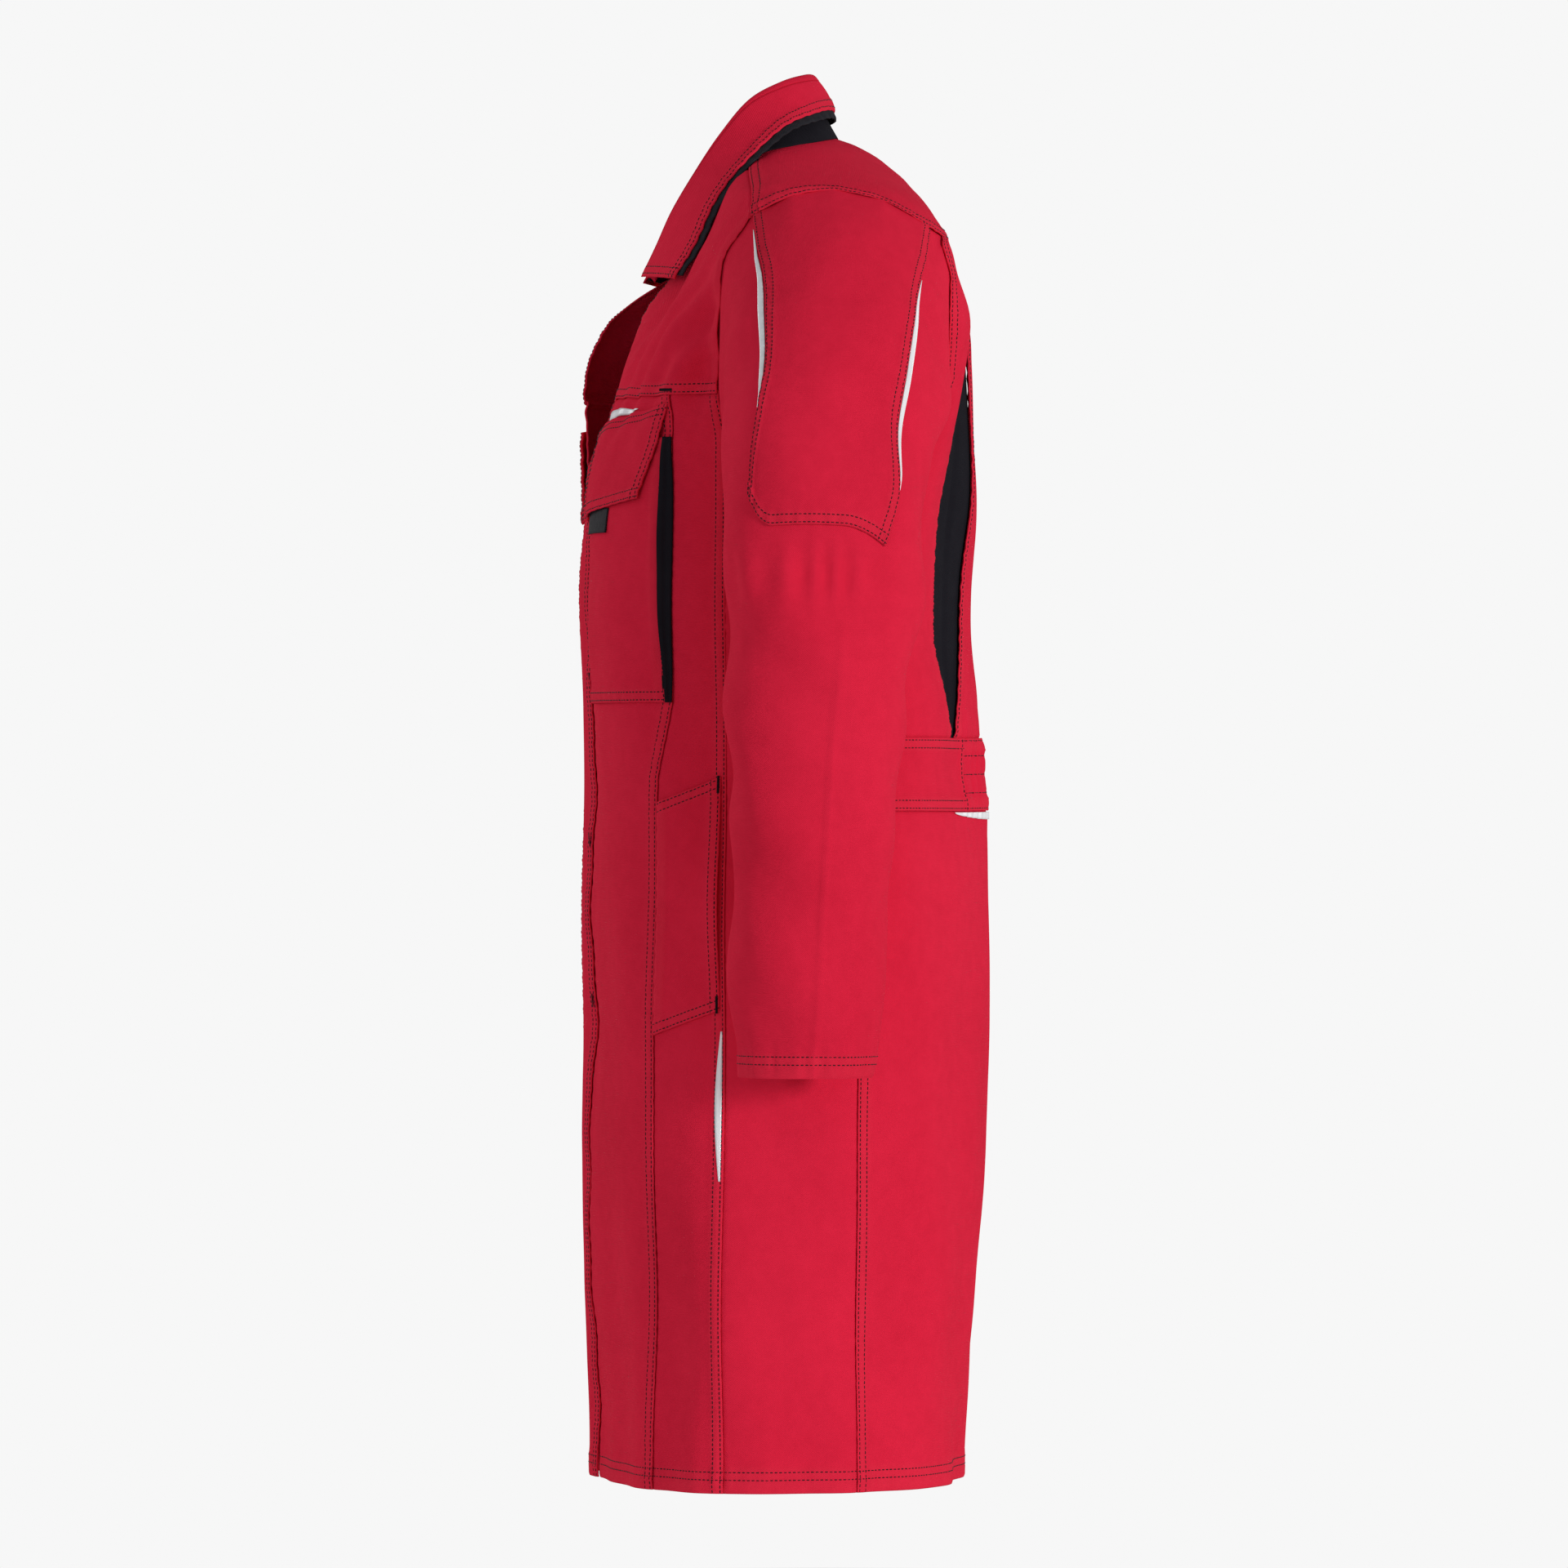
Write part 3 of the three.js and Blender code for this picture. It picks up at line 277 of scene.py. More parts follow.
def seamLift(distance, kind, along, seed):
    # how an edge of a piece stands: lapped over its neighbour, tucked under it, folded, hemmed
    wobble = np.sin(along * 2 * math.pi / 12.5 + 1.7 * np.sin(along / 41 + seed) + seed)
    second = np.sin(along * 2 * math.pi / 7.9 + seed * 2.3)
    if kind == "lap":
        lift = 0.95 * (1 - smooth(distance, 8.8, 11.8)) - 0.5 * bump(distance, 2.1,
            0.9) - 0.5 * bump(distance, 8.2, 1.0)
        lift -= 0.75 * bump(distance, 0, 0.8)
        return lift + (0.34 * wobble + 0.14 * second) * bump(distance, 5, 9)
    if kind == "under":
        return -1.55 * (1 - smooth(distance, 2.2, 5.0)) + 0.3 * wobble * bump(distance, 9, 10)
    if kind == "fold":
        lift = 0.6 * (1 - smooth(distance, 8.5, 12)) - 0.8 * bump(distance, 0, 1.0)
        return lift + (0.4 * wobble + 0.15 * second) * bump(distance, 3, 9)
    if kind == "hem":
        lift = 0.8 * (1 - smooth(distance, 17.5, 20.5)) - 0.4 * bump(distance, 10.5,
            1.1) - 0.4 * bump(distance, 16.5, 1.1)
        lift -= 0.7 * bump(distance, 0, 1.0)
        return lift + (0.42 * wobble + 0.16 * second) * bump(distance, 13, 11)
    return -0.3 * bump(distance, 0, 1.0)


def gridDistances(points):
    across = np.linalg.norm(np.diff(points, axis=0), axis=-1)
    along = np.linalg.norm(np.diff(points, axis=1), axis=-1)
    fromA = np.concatenate([np.zeros((1, points.shape[1])), np.cumsum(across, 0)])
    fromLow = np.concatenate([np.zeros((points.shape[0], 1)), np.cumsum(along, 1)], axis=1)
    return {"a": fromA, "b": fromA[-1:] - fromA, "low": fromLow, "high": fromLow[:, -1:] - fromLow}


def gridNormals(points, wrap=False):
    if wrap:
        ring = np.concatenate([points[-2:-1], points, points[1:2]])
        around = (ring[2:] - ring[:-2])
    else:
        around = np.gradient(points, axis=0)
    return unit(np.cross(around, np.gradient(points, axis=1)))


def buildSheet(name, outer, inner, flatUv, wear, material, wrap=False):
    nv = outer.shape[1]
    if wrap:
        outer, inner = outer[:-1], inner[:-1]
    rows = outer.shape[0]
    count = rows * nv
    verts = np.concatenate([outer.reshape(-1, 3), inner.reshape(-1, 3)]) * mm
    index = np.arange(count).reshape(rows, nv)
    ahead = np.concatenate([index, index[:1]]) if wrap else index
    a, b, c, d = ahead[:-1, :-1], ahead[1:, :-1], ahead[1:, 1:], ahead[:-1, 1:]
    outside = np.stack([a, b, c, d], -1).reshape(-1, 4)
    inside = outside[:, ::-1] + count
    rims = []

    def rim(line, turn):
        quad = np.stack([line[:-1], line[:-1] + count, line[1:] + count, line[1:]], -1)
        rims.append(quad if turn else quad[:, ::-1])

    rim(ahead[:, 0], True)
    rim(ahead[:, -1], False)
    if not wrap:
        rim(index[0], False)
        rim(index[-1], True)
    faces = np.concatenate([outside, inside, *rims])
    mesh = bpy.data.meshes.new(name)
    mesh.vertices.add(len(verts))
    mesh.vertices.foreach_set("co", verts.astype(np.float32).ravel())
    mesh.loops.add(faces.size)
    mesh.loops.foreach_set("vertex_index", faces.astype(np.int32).ravel())
    mesh.polygons.add(len(faces))
    mesh.polygons.foreach_set("loop_start", np.arange(0, faces.size, 4, dtype=np.int32))
    mesh.polygons.foreach_set("use_smooth", np.ones(len(faces), bool))
    uv = flatUv[:rows].reshape(-1, 2)
    allUv = np.concatenate([uv, uv])[faces.ravel()]
    if wrap:  # the last column closes the ring, so its own flat place is used
        low = np.isin(faces % count, index[0])
        allUv = allUv.reshape(-1, 4, 2)
        shift = flatUv[-1, 0, 0] - flatUv[0, 0, 0]
        allUv[..., 0] += np.where(low & np.isin(faces % count, index[-1]).any(1)[:, None], shift, 0)
        allUv = allUv.reshape(-1, 2)
    layer = mesh.uv_layers.new(name="clothPlan")
    layer.data.foreach_set("uv", allUv.astype(np.float32).ravel())
    mark = mesh.attributes.new("seamWear", "FLOAT", "POINT")
    mark.data.foreach_set("value", np.tile(wear[:rows].ravel(), 2).astype(np.float32))
    mesh.update(calc_edges=True)
    mesh.validate()
    piece = bpy.data.objects.new(name, mesh)
    scene.collection.objects.link(piece)
    mesh.materials.append(material)
    return piece


def finishGrid(name, base, normal, out, material, edges, thick=None, extra=None, wrap=False, seed=None):
    # base and normal are grids; edges says how each side is sewn
    thick = coat["cloth"] if thick is None else thick
    seed = (sum(ord(c) for c in name) % 17) if seed is None else seed
    far = gridDistances(base)
    lift = np.zeros(base.shape[:2]) + out
    wear = np.zeros(base.shape[:2])
    for side, kind in edges.items():
        if kind is None:
            continue
        along = far["low"] if side in ("a", "b") else far["a"]
        lift = lift + seamLift(far[side], kind, along, seed + "ab low high".index(side[0]))
        if kind in ("lap", "fold", "hem"):
            wide = 17 if kind == "hem" else 9
            wear = np.maximum(wear, 1 - smooth(far[side], wide, wide + 3))
    if extra is not None:
        lift = lift + extra
    outer = base + normal * lift[..., None]
    shown = gridNormals(outer, wrap)
    hidden = outer - shown * thick
    half = base.shape[1] // 2
    across = far["a"][:, half]
    flatUv = np.stack([np.broadcast_to(across[:, None], far["low"].shape), far["low"]], -1) * mm
    piece = buildSheet(name, outer, hidden, flatUv, wear, material, wrap)
    return {"piece": piece, "outer": outer, "normal": shown, "far": far, "base": base}


def acrossGrid(angleA, angleB, drops, shares):
    return angleA[None, :] + (angleB - angleA)[None, :] * shares[:, None], np.broadcast_to(drops[None, :],
        (len(shares), len(drops)))


def panel(name, lowDrop, highDrop, edgeA, edgeB, material, edges, out=0.0, step=5.0, sign=1, thick=None,
        extra=None, top=None):
    # a piece on the form between two seam lines, from its lower edge up; edge "a" is nearer the front
    tuck = 3.0
    low = lowDrop + (tuck if edges.get("low") == "under" else 0)
    high = highDrop - (tuck if edges.get("high") == "under" else 0)
    drops = low - (low - high) * lineShares(low - high, step, edges.get("low"), edges.get("high"))
    shiftA = -tuck if edges.get("a") == "under" else 0
    shiftB = tuck if edges.get("b") == "under" else 0
    angleA = slide(edgeA(drops), drops, shiftA)
    angleB = slide(edgeB(drops), drops, shiftB)
    mid = len(drops) // 2
    width = np.linalg.norm(np.diff(onForm(np.linspace(angleA[mid], angleB[mid], 40),
        drops[mid] + np.zeros(40)), axis=0), axis=-1).sum()
    shares = lineShares(width, step, edges.get("a"), edges.get("b"))
    angle, drop = acrossGrid(angleA, angleB, drops, shares)
    if top is not None:  # an upper edge that isn't level
        part = (low - drop) / (low - high)
        drop = low - part * (low - top(shares)[:, None])
    if sign < 0:
        angle, drop = -angle[::-1], drop[::-1]
        edges = {**edges, "a": edges.get("b"), "b": edges.get("a")}
    return dressPanel(name, angle, drop, out, material, edges, thick, extra)


def dressPanel(name, angle, drop, out, material, edges, thick=None, extra=None):
    base = onForm(angle, drop)
    normal = formNormal(angle, drop)
    base = base + normal * drape(angle, drop, base)[..., None]
    lift = extra(angle, drop, base) if extra is not None else None
    made = finishGrid(name, base, normal, out, material, edges, thick, lift)
    made["angle"], made["drop"] = angle, drop
    return made


def railPanel(name, railA, railB, material, edges, out=0.0, step=5.0, sign=1, thick=None, extra=None):
    # a piece between two lines of (angle, drop), both listed from the lower end up
    def measured(rail):
        rail = np.array(rail, float)
        spots = onForm(rail[:, 0], rail[:, 1])
        length = np.concatenate([[0], np.cumsum(np.linalg.norm(np.diff(spots, axis=0), axis=-1))])
        return length, rail

    lengthA, a = measured(railA)
    lengthB, b = measured(railB)
    total = (lengthA[-1] + lengthB[-1]) / 2
    v = lineShares(total, step, edges.get("low"), edges.get("high"))
    keys = np.linspace(0, 1, len(a))
    keysB = np.linspace(0, 1, len(b))
    lineA = np.stack([np.interp(v, keys, a[:, 0]), np.interp(v, keys, a[:, 1])], -1)
    lineB = np.stack([np.interp(v, keysB, b[:, 0]), np.interp(v, keysB, b[:, 1])], -1)
    mid = len(v) // 2
    width = np.linalg.norm(onForm(*lineA[mid]) - onForm(*lineB[mid]))
    u = lineShares(width, step, edges.get("a"), edges.get("b"))
    grid = lineA[None] + (lineB - lineA)[None] * u[:, None, None]
    angle, drop = grid[..., 0], grid[..., 1]
    if sign < 0:
        angle, drop = -angle[::-1], drop[::-1]
        edges = {**edges, "a": edges.get("b"), "b": edges.get("a")}
    return dressPanel(name, angle, drop, out, material, edges, thick, extra)


# sewing thread
def edgeLine(made, side, distance):
    # the line at a distance from one edge of a piece, on its outer face
    far, outer, normal = made["far"][side], made["outer"], made["normal"]
    if side in ("low", "high"):
        far, outer, normal = far.T, outer.swapaxes(0, 1), normal.swapaxes(0, 1)
    order = np.arange(far.shape[0]) if side in ("a", "low") else np.arange(far.shape[0])[::-1]
    spots, ups = [], []
    for j in range(far.shape[1]):
        d = far[order, j]
        spots.append([np.interp(distance, d, outer[order, j, k]) for k in range(3)])
        ups.append([np.interp(distance, d, normal[order, j, k]) for k in range(3)])
    return np.array(spots), unit(np.array(ups))


def sew(group, spots, ups, start=0.0, end=1.0, style=threadStyle):
    step = np.linalg.norm(np.diff(spots, axis=0), axis=-1)
    length = np.concatenate([[0], np.cumsum(step)])
    if length[-1] < style["pitch"] * 2:
        return
    places = np.arange(length[-1] * start + style["pitch"] * 0.5, length[-1] * end, style["pitch"])

    def at(values, where):
        return np.stack([np.interp(where, length, values[:, k]) for k in range(3)], -1)

    half = style["long"] / 2
    rows = stitchRows.setdefault(group, [])
    rows.append((at(spots, places - half), at(spots, places + half), unit(at(ups, places)), style))


def topstitch(group, made, side, distances=(2.1, 8.2), start=0.0, end=1.0, style=threadStyle):
    for distance in distances:
        spots, ups = edgeLine(made, side, distance)
        sew(group, spots, ups, start, end, style)


def buildThread(group, material):
    heads, tails, ups, wides, highs = [], [], [], [], []
    for a, b, up, style in stitchRows[group]:
        heads.append(a), tails.append(b), ups.append(up)
        wides.append(np.full(len(a), style["wide"])), highs.append(np.full(len(a), style["high"]))
    a, b, up = np.concatenate(heads), np.concatenate(tails), np.concatenate(ups)
    wide, high = np.concatenate(wides)[:, None], np.concatenate(highs)[:, None]
    way = unit(b - a)
    side = np.cross(up, way) * wide / 2
    top = up * high
    verts = []
    for point, size, sink in ((a, 0.35, -0.25), (a + (b - a) * 0.22, 1, 0), (b - (b - a) * 0.22, 1, 0),
            (b, 0.35, -0.25)):
        level = point + up * sink
        verts += [level + side * size, level + top * size + up * 0.05, level - side * size]
    verts = np.stack(verts, 1)  # twelve corners for each stitch: four rings of three
    quads = [[r * 3 + c, r * 3 + c + 1, r * 3 + c + 4, r * 3 + c + 3] for r in range(3) for c in range(2)]
    ring = np.array(quads)[:, ::-1]
    count = len(verts)
    faces = (ring[None] + (np.arange(count) * 12)[:, None, None]).reshape(-1, 4)
    mesh = bpy.data.meshes.new("thread_" + group)
    flat = verts.reshape(-1, 3) * mm
    mesh.vertices.add(len(flat))
    mesh.vertices.foreach_set("co", flat.astype(np.float32).ravel())
    mesh.loops.add(faces.size)
    mesh.loops.foreach_set("vertex_index", faces.astype(np.int32).ravel())
    mesh.polygons.add(len(faces))
    mesh.polygons.foreach_set("loop_start", np.arange(0, faces.size, 4, dtype=np.int32))
    mesh.polygons.foreach_set("use_smooth", np.ones(len(faces), bool))
    mesh.update(calc_edges=True)
    mesh.materials.append(material)
    piece = bpy.data.objects.new("thread_" + group, mesh)
    scene.collection.objects.link(piece)
    return piece


tackStyle = {"pitch": 0.75, "long": 0.01, "wide": 0.55, "high": 0.7}


def barTack(group, centre, way, up, length=9.0, wide=2.4):
    # close cross stitches that hold the end of a seam
    centre, way, up = np.array(centre, float), unit(np.array(way, float)), unit(np.array(up, float))
    cross = unit(np.cross(up, way))
    places = np.arange(-length / 2, length / 2, tackStyle["pitch"])
    spots = centre + way * places[:, None] + up * 0.25
    style = {**tackStyle, "wide": 0.8}
    stitchRows.setdefault(group, []).append((spots - cross * wide / 2, spots + cross * wide / 2,
        np.tile(up, (len(spots), 1)), style))


def spotOn(made, side, distance, share):
    spots, ups = edgeLine(made, side, distance)
    length = np.concatenate([[0], np.cumsum(np.linalg.norm(np.diff(spots, axis=0), axis=-1))])
    where = share * length[-1]
    pick = lambda values: np.array([np.interp(where, length, values[:, k]) for k in range(3)])
    ahead = np.array([np.interp(where + 3, length, spots[:, k])
        - np.interp(where - 3, length, spots[:, k]) for k in range(3)])
    return pick(spots), unit(ahead), pick(ups)


# finishes
def nodeGroup(name, inputs, outputs):
    tree = bpy.data.node_groups.new(name, "ShaderNodeTree")
    for label, kind, value in inputs:
        socket = tree.interface.new_socket(label, in_out="INPUT", socket_type=kind)
        if value is not None:
            socket.default_value = value
    for label, kind in outputs:
        tree.interface.new_socket(label, in_out="OUTPUT", socket_type=kind)
    return tree, tree.nodes.new("NodeGroupInput"), tree.nodes.new("NodeGroupOutput")


def mathNode(tree, operation, a, b=None, c=None):
    node = tree.nodes.new("ShaderNodeMath")
    node.operation = operation
    for socket, value in zip(node.inputs, (a, b, c)):
        if value is None:
            continue
        if isinstance(value, (int, float)):
            socket.default_value = value
        else:
            tree.links.new(value, socket)
    return node.outputs[0]


def noiseNode(tree, vector, scale, detail=2.0, roughness=0.5):
    node = tree.nodes.new("ShaderNodeTexNoise")
    node.inputs["Scale"].default_value = scale
    node.inputs["Detail"].default_value = detail
    node.inputs["Roughness"].default_value = roughness
    tree.links.new(vector, node.inputs["Vector"])
    return node.outputs["Fac"]


def makeTwill():
    # diagonal ribs with uneven yarns, on the cloth's own flat plan in metres; Shade repeats the rib and
    # slub heights for the colour: painted shade in the rib hollows plus uneven yarn tone
    tree, enter, leave = nodeGroup("twillWeave",
        [("Plan", "NodeSocketVector", None), ("Rib", "NodeSocketFloat", 0.0011),
        ("Uneven", "NodeSocketFloat", 0.5)],
        [("Height", "NodeSocketFloat"), ("Shade", "NodeSocketFloat")])
    split = tree.nodes.new("ShaderNodeSeparateXYZ")
    tree.links.new(enter.outputs["Plan"], split.inputs[0])
    drift = noiseNode(tree, enter.outputs["Plan"], 26, 2)
    lean = mathNode(tree, "ADD", split.outputs[0], mathNode(tree, "MULTIPLY", split.outputs[1], 0.9))
    lean = mathNode(tree, "ADD", lean, mathNode(tree, "MULTIPLY", drift, 0.0012))
    turn = mathNode(tree, "MULTIPLY", mathNode(tree, "DIVIDE", lean, enter.outputs["Rib"]), 2 * math.pi)
    rib = mathNode(tree, "SINE", turn)
    cross = mathNode(tree, "SINE", mathNode(tree, "MULTIPLY",
        mathNode(tree, "DIVIDE", split.outputs[1], enter.outputs["Rib"]), 5.1))
    yarn = tree.nodes.new("ShaderNodeMapping")
    yarn.inputs["Scale"].default_value = (1900, 320, 1)
    tree.links.new(enter.outputs["Plan"], yarn.inputs["Vector"])
    slub = noiseNode(tree, yarn.outputs[0], 1.0, 2, 0.6)
    weft = tree.nodes.new("ShaderNodeMapping")
    weft.inputs["Scale"].default_value = (240, 1500, 1)
    tree.links.new(enter.outputs["Plan"], weft.inputs["Vector"])
    slubAcross = noiseNode(tree, weft.outputs[0], 1.0, 2, 0.6)
    uneven = mathNode(tree, "MULTIPLY", mathNode(tree, "ADD", slub, slubAcross), enter.outputs["Uneven"])
    height = mathNode(tree, "ADD", mathNode(tree, "MULTIPLY", rib, 0.5),
        mathNode(tree, "MULTIPLY", cross, 0.18))
    tree.links.new(mathNode(tree, "ADD", height, mathNode(tree, "MULTIPLY", uneven, 1.4)),
        leave.inputs["Height"])
    # painted shade: Shade is lighter on the rib crests and darker in the hollows; the slubs add uneven yarn
    # tone
    tree.links.new(mathNode(tree, "ADD", mathNode(tree, "MULTIPLY", rib, 0.28), uneven),
        leave.inputs["Shade"])
    return tree


def makeTone():
    # dye that took a little unevenly, painted shade in the weave's rib hollows, worn lighter where seams
    # stand proud
    tree, enter, leave = nodeGroup("dyeWearAndRibShade",
        [("Place", "NodeSocketVector", None), ("Shade", "NodeSocketFloat", 0.5),
        ("Dye", "NodeSocketColor", (1, 1, 1, 1)),
         ("Deep", "NodeSocketColor", (0, 0, 0, 1)), ("Worn", "NodeSocketColor", (1, 1, 1, 1)),
         ("Seam", "NodeSocketFloat", 0.0), ("Wear", "NodeSocketFloat", 0.4)],
        [("Color", "NodeSocketColor"), ("Roughness", "NodeSocketFloat")])
    broad = noiseNode(tree, enter.outputs["Place"], 5.5, 3, 0.55)
    small = noiseNode(tree, enter.outputs["Place"], 85, 3, 0.6)
    fade = mathNode(tree, "MULTIPLY", mathNode(tree, "SUBTRACT", broad, 0.5), 0.9)
    # painted shade: a low Shade, the weave's rib hollows, darkens the dye; the noise adds uneven dye
    # patches
    depth = mathNode(tree, "ADD", mathNode(tree, "ADD", fade,
        mathNode(tree, "MULTIPLY", mathNode(tree, "SUBTRACT", small, 0.5), 0.5)),
                     mathNode(tree, "MULTIPLY", mathNode(tree, "SUBTRACT", 0.62, enter.outputs["Shade"]),
                     0.42))
    clampDepth = tree.nodes.new("ShaderNodeClamp")
    tree.links.new(mathNode(tree, "ADD", depth, 0.22), clampDepth.inputs["Value"])
    deepMix = tree.nodes.new("ShaderNodeMix")
    deepMix.data_type = "RGBA"
    tree.links.new(clampDepth.outputs[0], deepMix.inputs["Factor"])
    tree.links.new(enter.outputs["Dye"], deepMix.inputs["A"])
    tree.links.new(enter.outputs["Deep"], deepMix.inputs["B"])
    rub = noiseNode(tree, enter.outputs["Place"], 190, 2, 0.7)
    rubbed = mathNode(tree, "MULTIPLY", mathNode(tree, "MULTIPLY", enter.outputs["Seam"],
        enter.outputs["Wear"]), rub)
    wornMix = tree.nodes.new("ShaderNodeMix")
    wornMix.data_type = "RGBA"
    tree.links.new(rubbed, wornMix.inputs["Factor"])
    tree.links.new(deepMix.outputs["Result"], wornMix.inputs["A"])
    tree.links.new(enter.outputs["Worn"], wornMix.inputs["B"])
    tree.links.new(wornMix.outputs["Result"], leave.inputs["Color"])
    rough = mathNode(tree, "ADD", 0.76, mathNode(tree, "MULTIPLY", broad, 0.16))
    tree.links.new(mathNode(tree, "SUBTRACT", rough, mathNode(tree, "MULTIPLY", rubbed, 0.25)),
        leave.inputs["Roughness"])
    return tree


twillWeave = makeTwill()
dyeWearAndRibShade = makeTone()


def clothMaterial(name, style):
    made = bpy.data.materials.new(name)
    made.use_nodes = True
    tree = made.node_tree
    shader = tree.nodes["Principled BSDF"]
    plan = tree.nodes.new("ShaderNodeUVMap")
    plan.uv_map = "clothPlan"
    place = tree.nodes.new("ShaderNodeTexCoord")
    seam = tree.nodes.new("ShaderNodeAttribute")
    seam.attribute_name = "seamWear"
    weave = tree.nodes.new("ShaderNodeGroup")
    weave.node_tree = twillWeave
    weave.inputs["Rib"].default_value = style["rib"]
    weave.inputs["Uneven"].default_value = style["uneven"]
    tree.links.new(plan.outputs["UV"], weave.inputs["Plan"])
    tone = tree.nodes.new("ShaderNodeGroup")
    tone.node_tree = dyeWearAndRibShade
    tone.inputs["Dye"].default_value = (*style["dye"], 1)
    tone.inputs["Deep"].default_value = (*style["deep"], 1)
    tone.inputs["Worn"].default_value = (*style["worn"], 1)
    tone.inputs["Wear"].default_value = style["wear"]
    tree.links.new(place.outputs["Object"], tone.inputs["Place"])
    # the weave's Shade reaches the colour as painted shade in the rib hollows
    tree.links.new(weave.outputs["Shade"], tone.inputs["Shade"])
    tree.links.new(seam.outputs["Fac"], tone.inputs["Seam"])
    tree.links.new(tone.outputs["Color"], shader.inputs["Base Color"])
    tree.links.new(tone.outputs["Roughness"], shader.inputs["Roughness"])
    crease = noiseNode(tree, place.outputs["Object"], 46, 3, 0.5)
    relief = tree.nodes.new("ShaderNodeBump")
    relief.inputs["Strength"].default_value = style["relief"]
    relief.inputs["Distance"].default_value = 0.0004
    tree.links.new(mathNode(tree, "ADD", weave.outputs["Height"],
        mathNode(tree, "MULTIPLY", crease, style["crease"])), relief.inputs["Height"])
    tree.links.new(relief.outputs["Normal"], shader.inputs["Normal"])
    shader.inputs["Sheen Weight"].default_value = style["sheen"]
    shader.inputs["Sheen Roughness"].default_value = 0.45
    shader.inputs["Sheen Tint"].default_value = (*style["worn"], 1)
    shader.inputs["Specular IOR Level"].default_value = 0.02
    return made


redTwill = clothMaterial("redTwill", {
    "dye": (0.84, 0.021, 0.062), "deep": (0.58, 0.010, 0.034), "worn": (0.88, 0.07, 0.10), "wear": 0.16,
    "rib": 0.0013, "uneven": 0.5, "relief": 0.6, "crease": 3.0, "sheen": 0.05})
slateTwill = clothMaterial("slateTwill", {
    "dye": (0.017, 0.016, 0.021), "deep": (0.006, 0.006, 0.009), "worn": (0.09, 0.09, 0.10), "wear": 0.3,
    "rib": 0.0012, "uneven": 0.5, "relief": 0.55, "crease": 2.0, "sheen": 0.12})
print("stage: cloth finishes made")


def plainMaterial(name, color, roughness, metallic=0.0):
    made = bpy.data.materials.new(name)
    made.use_nodes = True
    shader = made.node_tree.nodes["Principled BSDF"]
    shader.inputs["Base Color"].default_value = (*color, 1)
    shader.inputs["Roughness"].default_value = roughness
    shader.inputs["Metallic"].default_value = metallic
    return made, made.node_tree, shader


def mixColors(tree, factor, a, b):
    node = tree.nodes.new("ShaderNodeMix")
    node.data_type = "RGBA"
    tree.links.new(factor, node.inputs["Factor"])
    node.inputs["A"].default_value = (*a, 1)
    node.inputs["B"].default_value = (*b, 1)
    return node.outputs["Result"]


def bumpFrom(tree, shader, height, strength, distance=0.0003):
    relief = tree.nodes.new("ShaderNodeBump")
    relief.inputs["Strength"].default_value = strength
    relief.inputs["Distance"].default_value = distance
    tree.links.new(height, relief.inputs["Height"])
    tree.links.new(relief.outputs["Normal"], shader.inputs["Normal"])


def makeTape():
    # herringbone: ribs that turn back every few millimetres, coloured lighter on their crests and darker in
    # their hollows as painted shade
    made, tree, shader = plainMaterial("herringboneTape", (0.03, 0.03, 0.035), 0.7)
    plan = tree.nodes.new("ShaderNodeUVMap")
    plan.uv_map = "clothPlan"
    split = tree.nodes.new("ShaderNodeSeparateXYZ")
    tree.links.new(plan.outputs["UV"], split.inputs[0])
    fold = mathNode(tree, "PINGPONG", split.outputs[0], 0.0035)
    turn = mathNode(tree, "MULTIPLY", mathNode(tree, "ADD", fold, split.outputs[1]), 2 * math.pi / 0.0017)
    rib = mathNode(tree, "ADD", mathNode(tree, "MULTIPLY", mathNode(tree, "SINE", turn), 0.5), 0.5)
    # painted shade: the rib hollows take the darker colour, the crests the lighter one
    tree.links.new(mixColors(tree, rib, (0.006, 0.006, 0.009), (0.032, 0.029, 0.036)),
        shader.inputs["Base Color"])
    bumpFrom(tree, shader, rib, 0.8, 0.0006)
    shader.inputs["Specular IOR Level"].default_value = 0.15
    return made


def makeReflective():
    made, tree, shader = plainMaterial("reflectiveTape", (0.82, 0.84, 0.87), 0.38)
    place = tree.nodes.new("ShaderNodeTexCoord")
    grain = noiseNode(tree, place.outputs["Object"], 900, 2, 0.6)
    soil = noiseNode(tree, place.outputs["Object"], 60, 3, 0.6)
    tree.links.new(mixColors(tree, soil, (0.93, 0.94, 0.96), (0.74, 0.76, 0.80)),
        shader.inputs["Base Color"])
    bumpFrom(tree, shader, grain, 0.35)
    shader.inputs["Coat Weight"].default_value = 0.15
    return made


def makeThread(name, light, dark):
    made, tree, shader = plainMaterial(name, light, 0.55)
    place = tree.nodes.new("ShaderNodeTexCoord")
    twist = noiseNode(tree, place.outputs["Object"], 1700, 2, 0.5)
    tree.links.new(mixColors(tree, twist, light, dark), shader.inputs["Base Color"])
    bumpFrom(tree, shader, twist, 0.5)
    shader.inputs["Specular IOR Level"].default_value = 0.1
    return made


def makeStud():
    made, tree, shader = plainMaterial("studMetal", (0.5, 0.5, 0.52), 0.32, 1.0)
    place = tree.nodes.new("ShaderNodeTexCoord")
    brushed = noiseNode(tree, place.outputs["Object"], 1400, 3, 0.6)
    rough = mathNode(tree, "ADD", mathNode(tree, "MULTIPLY", brushed, 0.25), 0.2)
    tree.links.new(rough, shader.inputs["Roughness"])
    tree.links.new(mixColors(tree, brushed, (0.44, 0.44, 0.46), (0.62, 0.62, 0.63)),
        shader.inputs["Base Color"])
    bumpFrom(tree, shader, brushed, 0.2)
    return made


